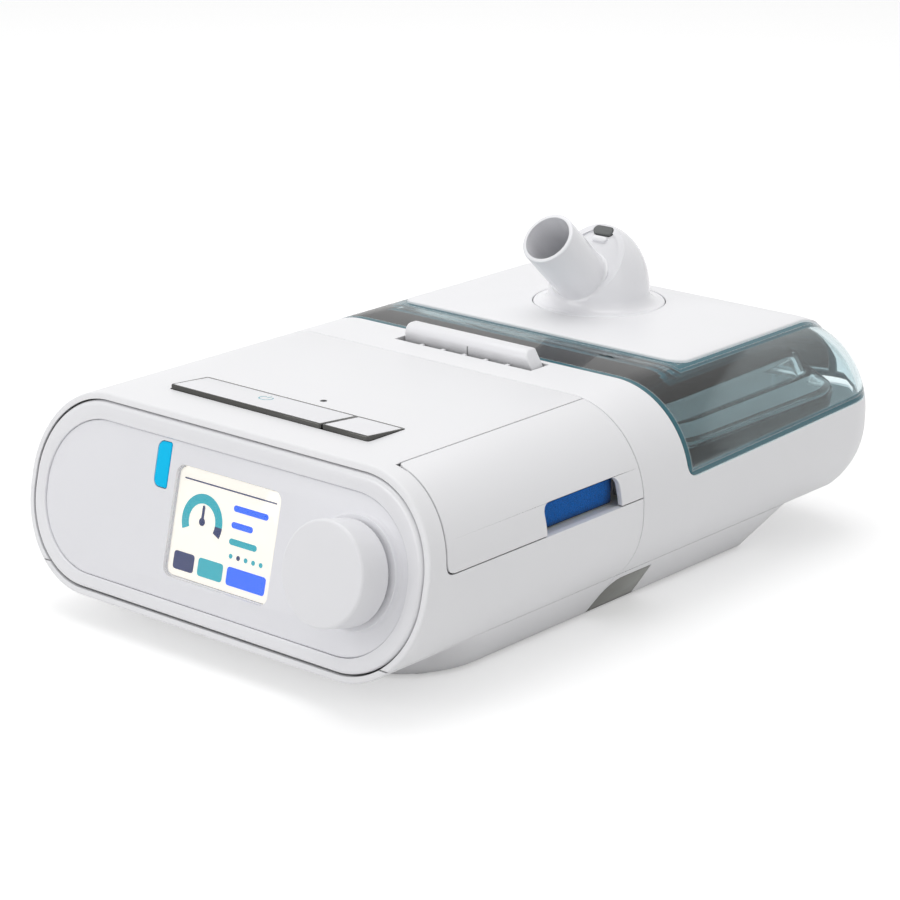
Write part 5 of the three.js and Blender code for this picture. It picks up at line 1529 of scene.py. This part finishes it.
class MACHINE_OT_door(bpy.types.Operator):
    """Models the side door with its round hinge barrel and the air window, and the filter mat behind it"""
    bl_idname = "machine.door"
    bl_label = "Side Door"

    def execute(self, context):
        case = sizes("case")
        door = sizes("door")
        hinge = pivot_of("door_hinge")
        skin = keep_common(door_region("side_door_skin", case.gap, hinge.x - door.barrel, DOOR_FRONT_GAP),
                           case_form("outside", rear=CASE_REAR))
        outside = lambda middle: middle.x > hinge.x - door.barrel
        soften(skin, sharp(50, outside), case.edge, 3)
        carve(skin, case_form("inside", door.thickness, rear=0, lean=-case.corner))
        front = face_y(hinge.z, door.front_inset) + door.top_corner + DOOR_FRONT_GAP
        rear = CASE_REAR - door.ear - case.wall
        carve(skin, hinge_line("ear_room", door.barrel - EAR_COVER + case.gap * 2, rear, 0))
        weld(skin, hinge_line("barrel", door.barrel * 0.97, front, rear))
        below = door.bottom - PAST / 2
        window = [(door.window_front, below), (door.window_rear, below)]
        window += arc((door.window_rear - door.window_corner, door.window_high - door.window_corner),
                      door.window_corner, 0, 90, 8)
        window += arc((door.window_front + door.window_corner, door.window_high - door.window_corner),
                      door.window_corner, 90, 180, 8)
        cutter = prism("air_window", window, hinge.x + door.barrel * 2, HALF_WIDTH + PAST / 2, SIDEWAYS)
        bore = hinge_line("pin_bore", door.barrel / 2, front - door.ear, rear + door.ear)
        carve(skin, cutter, bore)
        # A line of points level with the window's top keeps the curved skin's shading even
        choose(skin, "FACE")
        bpy.ops.mesh.bisect(plane_co=(0, 0, door.window_high), plane_no=(0, 0, 1))
        close(skin)
        rim = lambda middle: (door.window_front - NEAR < middle.y < door.window_rear + NEAR
                              and middle.z < door.window_high + NEAR)
        soften(skin, sharp(50, rim), case.edge * 0.6, 1)
        hand_over(skin, "side_door", "case_white", "side_door")

        low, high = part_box("air_filter")
        mat = block("air_filter_mat", low, high)
        choose(mat, "FACE")
        bpy.ops.mesh.subdivide(number_cuts=5)
        close(mat)
        side, foot, top, bulge, edge = MAT_SIZES

        def in_middle(vert):
            return (vert.co.x > high.x - SAME and low.y + side < vert.co.y < high.y - side
                    and low.z + foot < vert.co.z < high.z - top)

        slide(mat, "VERT", in_middle, (bulge, 0, 0))
        soften(mat, sharp(60), edge, 3)
        hand_over(mat, "therapy_unit", "filter_blue", "air_filter")
        return {"FINISHED"}


class MACHINE_OT_humidifier_case(bpy.types.Operator):
    """Models the humidifier's shell with its front deck, latch slot and open tub"""
    bl_idname = "machine.humidifier_case"
    bl_label = "Humidifier Case"

    def execute(self, context):
        case = sizes("case")
        lid = sizes("lid")
        wall = case.wall
        deck = LID_FRONT - case.gap
        shell = humidifier_form("humidifier_shell")
        soften(shell, upright(HUMIDIFIER_FRONT), case.edge, 3)
        slice_off(shell, (0, 0, CREASE), (0, 0, -1))
        soften(shell, level(CREASE), CREASE_EDGE, 2)
        hollow = humidifier_form("hollow", wall, HUMIDIFIER_FRONT + wall)
        carve(hollow, block("partition", (-HALF_WIDTH, deck - wall, CREASE + wall + case.gap),
                            (HALF_WIDTH, deck + 0.0001, CASE_TOP)))
        hinge = pivot_of("lid_hinge")
        zone = block("hinge_room", (-lid.hinge_zone, MACHINE_REAR - case.rear_corner,
                                    hinge.z - lid.knuckle - 0.0004),
                     (lid.hinge_zone, MACHINE_REAR + PAST, CASE_TOP + PAST))
        carve(shell, hollow, lid_profile("lid_room", 0), zone)

        low, high = LATCH_SLOT
        pocket = block("pocket", (low.x - wall, low.y - wall, low.z - wall),
                       (high.x + wall, high.y, CASE_TOP - wall / 2))
        weld(shell, pocket)
        slot = block("slot", low, (high.x, high.y, CASE_TOP + PAST))
        carve(shell, slot)
        combs = []
        bar_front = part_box("latch_bar")[0].y
        left, right = COMB_ENDS
        for i in range(1, COMB_BARS + 1):
            x = left + (right - left) * i / (COMB_BARS + 1)
            combs.append(block("comb", (x - COMB_HALF, low.y - wall / 2, CASE_TOP - wall),
                               (x + COMB_HALF, bar_front - NEAR, CASE_TOP - case.gap)))
        weld(shell, *combs)
        ears = []
        start = lid.knuckle_half + case.gap
        for side in (-1, 1):
            a, b = sorted((side * start, side * (start + LID_EAR)))
            ears.append(lid_hinge_bar(lid.knuckle, a, b))
            ears.append(block("ear_web", (a, hinge.y - lid.knuckle, hinge.z - lid.knuckle * 4),
                              (b, hinge.y + lid.knuckle - NEAR, hinge.z)))
        weld(shell, *ears)
        plug_low, plug_high = DOCK_PLUG
        port = air_hole(HUMIDIFIER_PORT, HUMIDIFIER_FRONT - PAST, HUMIDIFIER_FRONT + wall * 2)
        plug = block("plug_hole", (plug_low.x, HUMIDIFIER_FRONT - PAST, plug_low.z),
                     (plug_high.x, HUMIDIFIER_FRONT + wall * 2, plug_high.z))
        intake = air_hole(INTAKE, deck - wall * 2, deck + wall, INTAKE_HEIGHT)
        pivot = pivot_of("latch_press")
        pin = drum("pin_bore", PIN_BORE, (low.x - wall * 2, pivot.y, pivot.z),
                   (high.x + wall * 2, pivot.y, pivot.z))
        carve(shell, port, plug, intake, pin, lid_hinge_bar(PIN_BORE, -HINGE_BORE_HALF, HINGE_BORE_HALF))
        hand_over(shell, "humidifier", "case_white", "humidifier_case")
        return {"FINISHED"}


def lid_profile(name, grow):
    """The side outline of the clear lid, pushed right across the machine."""
    lid = sizes("lid")
    front = LID_FRONT - sizes("case").gap
    run = MACHINE_REAR - front

    def low(y):
        return lid.edge_front + (lid.edge_rear - lid.edge_front) * (y - front) / run + grow

    start_y = front + grow
    radius = lid.corner - grow
    top = CASE_TOP + PAST
    rear = MACHINE_REAR + PAST
    start = (start_y, low(start_y) + radius)
    bend = (start_y, low(start_y))
    end = (start_y + radius, low(start_y + radius))
    outline = [(start_y, top)] + swept(start, bend, end, 12) + [(rear, low(rear)), (rear, top)]
    return prism(name, outline, -BEYOND, BEYOND, SIDEWAYS)


LATCH_SLOT = (Vector((-0.0335, 0.0012, 0.075)), Vector((0.0335, 0.012, 0.083)))
COMB_ENDS = (-0.0315, 0.0315)
COMB_BARS = 5
COMB_HALF = 0.0007
INTAKE_HEIGHT = 0.065
LID_EAR = 0.012
LID_EAR_ROOM = 0.0126
HINGE_BORE_HALF = 0.05


class MACHINE_OT_humidifier_base(bpy.types.Operator):
    """Models the humidifier's floor and plinth with the pockets for feet and pads"""
    bl_idname = "machine.humidifier_base"
    bl_label = "Humidifier Base"

    def execute(self, context):
        case = sizes("case")
        plinth = sizes("plinth")
        wall = case.wall
        front = HUMIDIFIER_FRONT + wall + case.gap
        base = plinth_form("humidifier_plinth", 0, plinth.slope_from, CREASE - CREASE_EDGE,
                           front=HUMIDIFIER_FRONT)
        soften(base, level(plinth.slope_from), case.edge * 2, 3)
        neck_inset = 0.0048
        neck_gap = 0.0002
        neck = plinth_form("neck", neck_inset, CREASE - wall, CREASE + wall / 2, front=front + neck_gap)
        floor = humidifier_form("floor", wall + case.gap, front)
        slice_off(floor, (0, 0, CREASE + wall), (0, 0, 1))
        slice_off(floor, (0, 0, CREASE + case.gap / 2), (0, 0, -1))
        weld(base, neck)
        carve(base, plinth_form("hollow", neck_inset + wall, plinth.slope_from + wall, CREASE,
                                front=HUMIDIFIER_FRONT + wall))
        weld(base, floor, *posts(FEET[2:], plinth.slope_from, FOOT_POST_TOP, FOOT_POST))
        carve(base, *posts(FEET[2:], 0, FOOT_POCKET_TOP, FOOT_POCKET),
              *[pad_form("pocket", side, case.gap) for side in (-1, 1)])
        hand_over(base, "humidifier", "case_white", "humidifier_base")
        return {"FINISHED"}


def pad_form(name, side, grow):
    """A pad let into the plinth's sloping side."""
    plinth = sizes("plinth")
    crease = CREASE - sizes("case").gap
    outline = [(plinth.pad_front - grow, plinth.pad_low - grow),
               (plinth.pad_rear + plinth.pad_lean + grow, plinth.pad_low - grow),
               (plinth.pad_rear + grow, plinth.pad_high + grow)]
    corner = (plinth.pad_front - grow + plinth.pad_corner, plinth.pad_high + grow - plinth.pad_corner)
    outline += arc(corner, plinth.pad_corner, 90, 180, 10)
    low, high = sorted((0, side * HALF_WIDTH))
    band = prism(name, outline, low, high, SIDEWAYS)
    skin = plinth_form("skin", 0 if grow == 0 else -NEAR, plinth.slope_from, crease)
    core = plinth_form("core", plinth.pad_thickness + grow, plinth.slope_from - NEAR, crease + NEAR)
    return keep_common(band, carve(skin, core))


class MACHINE_OT_pads(bpy.types.Operator):
    """Models the smooth grip pads on both sides of the plinth"""
    bl_idname = "machine.pads"
    bl_label = "Grip Pads"

    def execute(self, context):
        for side, name in ((1, "right"), (-1, "left")):
            pad = pad_form(f"grip_pad_{name}_smooth", side, 0)
            soften(pad, sharp(50), FINE_EDGE, 2)
            hand_over(pad, "humidifier", "smoke_grey", f"grip_pad_{name}")
        return {"FINISHED"}


class MACHINE_OT_latch(bpy.types.Operator):
    """Models the rocking latch bar across the top"""
    bl_idname = "machine.latch"
    bl_label = "Latch Bar"

    def execute(self, context):
        low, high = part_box("latch_bar")
        pivot = pivot_of("latch_press")
        half = COMB_ENDS[1]
        crown = 0.0034
        rear_round = 0.0008
        outline = [(low.y, pivot.z)]
        outline += arc((low.y + crown, high.z - crown), crown, 180, 90, 8)
        outline += arc((high.y - rear_round, high.z - rear_round), rear_round, 90, 0, 4)
        outline += arc(((low.y + high.y) / 2, pivot.z), (high.y - low.y) / 2, 0, -180, 16)
        bar = prism("latch_bar_rocker", outline, -half, half, SIDEWAYS)
        # The right end slants, from this far in and by this much
        slant_from = 0.0042
        slant = (1, 0, 0.62)
        slice_off(bar, (half - slant_from, 0, high.z), slant)
        edge = 0.0006
        soften(bar, sharp(30), edge, 3)
        slack = 0.0003
        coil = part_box("latch_spring")
        room = block("coil_room", (coil[0].x - slack, low.y - PAST, low.z - PAST),
                     (coil[1].x + slack, high.y + PAST, coil[1].z + edge))
        # A short notch marks the middle of the front
        notch_low = 0.003
        notch_high = 0.0002
        notch = block("notch", (-slack, low.y - NEAR, high.z - crown - notch_low),
                      (slack, low.y + slack, high.z - crown + notch_high))
        carve(bar, room, notch)
        trunnion = 0.0011
        weld(bar, drum("trunnion", trunnion, (low.x, pivot.y, pivot.z), (high.x, pivot.y, pivot.z)))
        hand_over(bar, "latch", "key_white", "latch_bar", finish="latch_white")
        return {"FINISHED"}


# The tank: its wall, how far its foot is drawn in, and the rounding of its foot and its cover's top
TANK_WALL = 0.002
TANK_TAPER = 0.003
TANK_ROUND = 0.0025
# The heater's seat in the tank's floor: its depth, its room round the plate and the rim left inside
SEAT_DEPTH = 0.0018
SEAT_ROOM = 0.0026
SEAT_RIM = 0.0024
HEATER_CORNER = 0.012
# The tank's cover: its step's slope and rounding, and the dome on it, drawn in by its inset and its slope
STEP_SLOPE = 0.005
STEP_ROUND = 0.002
DOME_INSET = 0.009
DOME_SLOPE = 0.003
CHIMNEY = 0.0165
MOUTH = 0.014
COVER_INTAKE = 0.005
COVER_INTAKE_DEPTH = 0.014


def tank_ring(name, low, high, inset=0.0, low_inset=0.0, high_inset=0.0, corner=0.024):
    """A slab of the tank's outline, drawn in by its own inset at the low and at the high end."""
    box_low, box_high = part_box("tank_seal")
    half = box_high.x - inset - low_inset
    start, end = box_low.y + inset + low_inset, box_high.y - inset - low_inset
    piece = tile(name, (-half, start, low), (half, end, high), corner - inset - low_inset, 16)
    splay(piece, high, (box_low.y + box_high.y) / 2, low_inset - high_inset, low_inset - high_inset)
    return piece


def heater_slab(name, low, high, grow=0.0):
    """A slab of the heater plate's outline, grown on all sides."""
    box_low, box_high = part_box("heater_plate")
    return tile(name, (box_low.x - grow, box_low.y - grow, low),
                (box_high.x + grow, box_high.y + grow, high), HEATER_CORNER + grow, 10)


class MACHINE_OT_tank(bpy.types.Operator):
    """Models the clear water tank, its clear seal and its stepped cover"""
    bl_idname = "machine.tank"
    bl_label = "Water Tank"

    def execute(self, context):
        low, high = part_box("tank_body")
        wall = TANK_WALL
        tub = tank_ring("tank_tub", low.z, high.z, low_inset=TANK_TAPER)
        soften(tub, level(low.z), TANK_ROUND, 5)
        room = tank_ring("room", low.z + wall, high.z + PAST / 2, wall, TANK_TAPER)
        carve(tub, room, heater_slab("plate_seat", low.z - PAST, low.z + SEAT_DEPTH, SEAT_ROOM),
              heater_slab("plate_window", low.z - PAST, low.z + PAST, -SEAT_RIM))
        soften(tub, level(high.z), FINE_EDGE, 2)
        hand_over(tub, "humidifier", "tank_clear", "tank_body")

        low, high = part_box("tank_seal")
        slack = 0.0001
        seal = tank_ring("tank_seal_ring", low.z, high.z, slack)
        carve(seal, tank_ring("room", low.z - PAST, high.z + PAST, wall))
        soften(seal, sharp(50), FINE_EDGE, 2)
        hand_over(seal, "humidifier", "accent_blue", "tank_seal", finish="clear_silicone")

        low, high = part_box("tank_lid")
        step = (low.z + high.z) / 2 - NEAR
        cover = tank_ring("tank_cover", low.z, step, high_inset=STEP_SLOPE)
        soften(cover, level(step), STEP_ROUND, 4)
        dome = tank_ring("tank_dome", step - NEAR, high.z, DOME_INSET, 0, DOME_SLOPE)
        soften(dome, level(high.z), TANK_ROUND, 5)
        weld(cover, dome)
        under = tank_ring("under", low.z - NEAR, step - wall, wall, 0, STEP_SLOPE)
        inner = tank_ring("inner", step - wall - NEAR, high.z - wall, DOME_INSET + wall, 0, DOME_SLOPE)
        carve(cover, under, inner)
        weld(cover, elbow_bar("chimney", CHIMNEY, step, high.z))
        carve(cover, elbow_bar("mouth", MOUTH, low.z - PAST, high.z + PAST),
              air_hole(COVER_INTAKE, low.y - PAST, low.y + COVER_INTAKE_DEPTH, INTAKE_HEIGHT))
        hand_over(cover, "humidifier", "tank_clear", "tank_lid")
        return {"FINISHED"}


def cover_outline(name, grow, low, high):
    lid = sizes("lid")
    corner = lid.cover_corner + grow
    return tile(name, (-lid.cover_half - grow, lid.cover_front - grow, low),
                (lid.cover_half + grow, MACHINE_REAR + PAST * 2, high), (corner, corner, 0, 0), 12)


def elbow_bar(name, radius, low, high):
    """An upright round bar on the elbow's own axis."""
    return drum(name, radius, (ELBOW_PIVOT.x, ELBOW_PIVOT.y, low), (ELBOW_PIVOT.x, ELBOW_PIVOT.y, high))


class MACHINE_OT_lid(bpy.types.Operator):
    """Models the clear lid with its recess, neck collar and hinge knuckle"""
    bl_idname = "machine.lid"
    bl_label = "Clear Lid"

    def execute(self, context):
        case = sizes("case")
        lid = sizes("lid")
        shell = humidifier_form("lid_clear", 0, LID_FRONT)
        keep_common(shell, lid_profile("side", case.gap))
        soften(shell, sharp(50), SMALL_EDGE, 3)
        carve(shell, humidifier_form("inside", lid.wall, LID_FRONT - PAST / 2))
        recess = carve(cover_outline("recess", case.gap, lid.cover_low - case.gap, CASE_TOP + PAST),
                       humidifier_form("keep", lid.cover_thickness - lid.cover_rise + case.gap, 0))
        hinge = pivot_of("lid_hinge")
        ear = lid.knuckle_half + LID_EAR_ROOM
        rooms = [lid_hinge_bar(lid.knuckle + case.gap, side * lid.knuckle_half, side * ear)
                 for side in (-1, 1)]
        carve(shell, recess, *rooms)
        collar_wall = 0.0029
        collar_depth = 0.003
        neck_slack = 0.0005
        collar = elbow_bar("collar", lid.neck + collar_wall, CASE_TOP - lid.wall - collar_depth,
                           CASE_TOP - lid.wall * 0.7)
        knuckle = lid_hinge_bar(lid.knuckle, -lid.knuckle_half, lid.knuckle_half)
        web = block("knuckle_web", (-lid.knuckle_half, hinge.y - lid.knuckle, hinge.z),
                    (lid.knuckle_half, hinge.y + lid.knuckle - NEAR, lid.cover_low - case.gap * 2))
        weld(shell, collar, knuckle, web)
        neck_hole = elbow_bar("neck_hole", lid.neck + neck_slack, CASE_TOP - PAST * 2, CASE_TOP + PAST * 2)
        carve(shell, neck_hole, lid_hinge_bar(PIN_BORE, -ear, ear))
        hand_over(shell, "lid", "smoke_clear", "lid_shell")
        return {"FINISHED"}


class MACHINE_OT_lid_cover(bpy.types.Operator):
    """Models the white cover plate that runs over the lid and down its rear"""
    bl_idname = "machine.lid_cover"
    bl_label = "Lid Cover"

    def execute(self, context):
        case = sizes("case")
        lid = sizes("lid")
        sheet = humidifier_form("lid_cover_plate", -lid.cover_rise, lid.cover_front - PAST)
        keep_common(sheet, cover_outline("outline", 0, lid.cover_low, CASE_TOP + PAST))
        edge = 0.0006
        over_low = lambda middle: middle.z > lid.cover_low + NEAR * 2
        soften(sheet, sharp(45, over_low), edge, 4)
        inside = humidifier_form("inside", lid.cover_thickness - lid.cover_rise, lid.cover_front - PAST * 2)
        carve(sheet, inside)
        carve(sheet, elbow_bar("ring_hole", lid.port + case.gap, CASE_TOP - PAST, CASE_TOP + PAST))

        def at_ring(edge):
            return abs((edge.verts[0].co.xy - ELBOW_PIVOT.xy).length - lid.port) < NEAR

        soften(sheet, both(level(CASE_TOP + lid.cover_rise), sharp(50), at_ring), SMALL_EDGE, 3)
        hand_over(sheet, "lid", "case_white", "lid_cover")
        return {"FINISHED"}


class MACHINE_OT_elbow(bpy.types.Operator):
    """Models the swivelling elbow: ring, flared hood, slanted face, tube, bore, catch and contact pad"""
    bl_idname = "machine.elbow"
    bl_label = "Elbow"

    def execute(self, context):
        elbow = sizes("elbow")
        lid = sizes("lid")
        case = sizes("case")
        run = Vector((0, -math.cos(elbow.tilt), math.sin(elbow.tilt)))
        rise = Vector((0, math.sin(elbow.tilt), math.cos(elbow.tilt)))
        tilted = frame_at(Vector((0, 0, 0)), ACROSS, rise, run)
        small = 0.0006
        profile = [(0, 0), (lid.port, 0), (lid.port, elbow.disc - small)]
        profile += arc((lid.port - small, elbow.disc - small), small, 0, 90, 3)[1:]
        profile += [(0, elbow.disc)]
        disc = turned("elbow_hood", profile)

        flare = elbow.flare - elbow.disc
        spread = elbow.foot - elbow.hood
        profile = [(0, elbow.disc - small), (elbow.foot, elbow.disc - small)]
        for i in range(9):
            turn = math.radians(90 * i / 8)
            profile.append((elbow.foot - spread * math.sin(turn), elbow.flare - flare * math.cos(turn)))
        for i in range(1, 25):
            turn = math.radians(90 * i / 24)
            profile.append((elbow.hood * math.cos(turn), elbow.flare + elbow.hood_height * math.sin(turn)))
        hood = turned("hood", profile)
        rim = 0.0016
        dish_depth = 0.0007
        wide = Vector((0.1, 0.1, 0))
        beyond = Vector((0.1, 0.1, 0.2))
        dish = turned("dish", [(0, elbow.disc)] + [
            (max(radius - rim, 0), height - rim * (height > elbow.flare)) for radius, height in profile[2:]])
        carve(hood, put_in(block("beyond", Vector((0, 0, elbow.face)) - wide, beyond), tilted))
        keep_common(dish, put_in(
            block("ahead", Vector((0, 0, elbow.face - dish_depth)) - wide, beyond), tilted))
        carve(hood, dish)
        weld(disc, hood)

        up = elbow.tube_up
        mouth = elbow.face + elbow.tube_length
        flange = 0.0012
        base = elbow.face - 0.0015
        lip = 0.0007
        start = 0.004
        profile = [(0, start), (elbow.tube + flange, start), (elbow.tube + flange, base)]
        profile += arc((elbow.tube + flange, base + flange * 2), flange, 270, 180, 6)[1:]
        profile += [(elbow.tube, mouth - lip)] + arc((elbow.tube - lip, mouth - lip), lip, 0, 90, 4)[1:]
        profile += [(0, mouth)]
        tube = turned("tube", profile, Matrix.Translation(rise * up) @ tilted)
        weld(disc, tube, drum("neck", lid.neck, (0, 0, -elbow.neck_depth), (0, 0, NEAR)))

        turn_height = 0.007
        down_bore = 0.0104
        carve(disc, drum("bore_down", down_bore, (0, 0, -PAST * 2), (0, 0, turn_height)),
              drum("bore", elbow.bore, rise * up + run * turn_height / 2, rise * up + run * (mouth + PAST)))
        seat = oval("seat", CONTACT, case.gap, elbow.face - CONTACT_DEPTH - case.gap, elbow.face + PAST / 2)
        carve(disc, put_in(seat, tilted))
        catch_top = elbow.face + CATCH_RISE
        catch = oval("catch", CATCH, 0, elbow.face - CATCH_DEPTH, catch_top)
        soften(catch, level(catch_top), FINE_EDGE, 2)
        weld(disc, put_in(catch, tilted))
        put_in(disc, Matrix.Translation(ELBOW_PIVOT))
        hand_over(disc, "elbow", "gloss_white", "elbow", angle=48)

        pad_top = elbow.face + CONTACT_RISE
        pad = oval("elbow_contact_pad", CONTACT, 0, elbow.face - CONTACT_DEPTH, pad_top)
        soften(pad, level(pad_top), CONTACT_RISE, 4)
        put_in(pad, Matrix.Translation(ELBOW_PIVOT) @ tilted)
        hand_over(pad, "elbow", "grey_rubber", "elbow_contact")
        return {"FINISHED"}


# Half width, half height and distance up the slanted face of the elbow's electric pad and its catch
CONTACT = (0.0046, 0.0018, 0.0234)
CATCH = (0.0036, 0.0012, 0.0196)
# How deep each goes into the face and how far it stands out
CONTACT_DEPTH = 0.003
CONTACT_RISE = 0.0005
CATCH_DEPTH = 0.0024
CATCH_RISE = 0.0004


def oval(name, spec, grow, low, high):
    half_x, half_y, up = spec
    half_x, half_y = half_x + grow, half_y + grow
    return tile(name, (-half_x, up - half_y, low), (half_x, up + half_y, high), half_y - 0.00002, 8)


OPERATORS = (
    MACHINE_OT_stage, MACHINE_OT_finishes, MACHINE_OT_upper_case, MACHINE_OT_lower_case, MACHINE_OT_feet,
    MACHINE_OT_bezel, MACHINE_OT_plate, MACHINE_OT_strip, MACHINE_OT_display, MACHINE_OT_dial,
    MACHINE_OT_keys, MACHINE_OT_door, MACHINE_OT_humidifier_case, MACHINE_OT_humidifier_base,
    MACHINE_OT_pads, MACHINE_OT_latch, MACHINE_OT_tank, MACHINE_OT_lid, MACHINE_OT_lid_cover,
    MACHINE_OT_elbow,
)


class MACHINE_PT_builder(bpy.types.Panel):
    """The machine's pieces, in the order in which they are built"""
    bl_idname = "MACHINE_PT_builder"
    bl_label = "Breathing Machine"
    bl_space_type = "VIEW_3D"
    bl_region_type = "UI"
    bl_category = "Breathing Machine"

    def draw(self, context):
        for operator in OPERATORS:
            self.layout.operator(operator.bl_idname)
        for name in GROUPS:
            group = getattr(context.scene, name)
            column = self.layout.column()
            for setting in group.bl_rna.properties.keys()[2:]:
                column.prop(group, setting)


def register():
    for group in GROUPS.values():
        bpy.utils.register_class(group)
    for name, group in GROUPS.items():
        setattr(bpy.types.Scene, name, PointerProperty(type=group))
    for operator in OPERATORS:
        bpy.utils.register_class(operator)
    bpy.utils.register_class(MACHINE_PT_builder)


def unregister():
    bpy.utils.unregister_class(MACHINE_PT_builder)
    for operator in reversed(OPERATORS):
        bpy.utils.unregister_class(operator)
    for name, group in reversed(GROUPS.items()):
        delattr(bpy.types.Scene, name)
        bpy.utils.unregister_class(group)


def main():
    register()
    for operator in OPERATORS:
        family, name = operator.bl_idname.split(".")
        getattr(getattr(bpy.ops, family), name)()
    pick_only()
    bpy.context.view_layer.update()


if __name__ == "__main__":
    main()
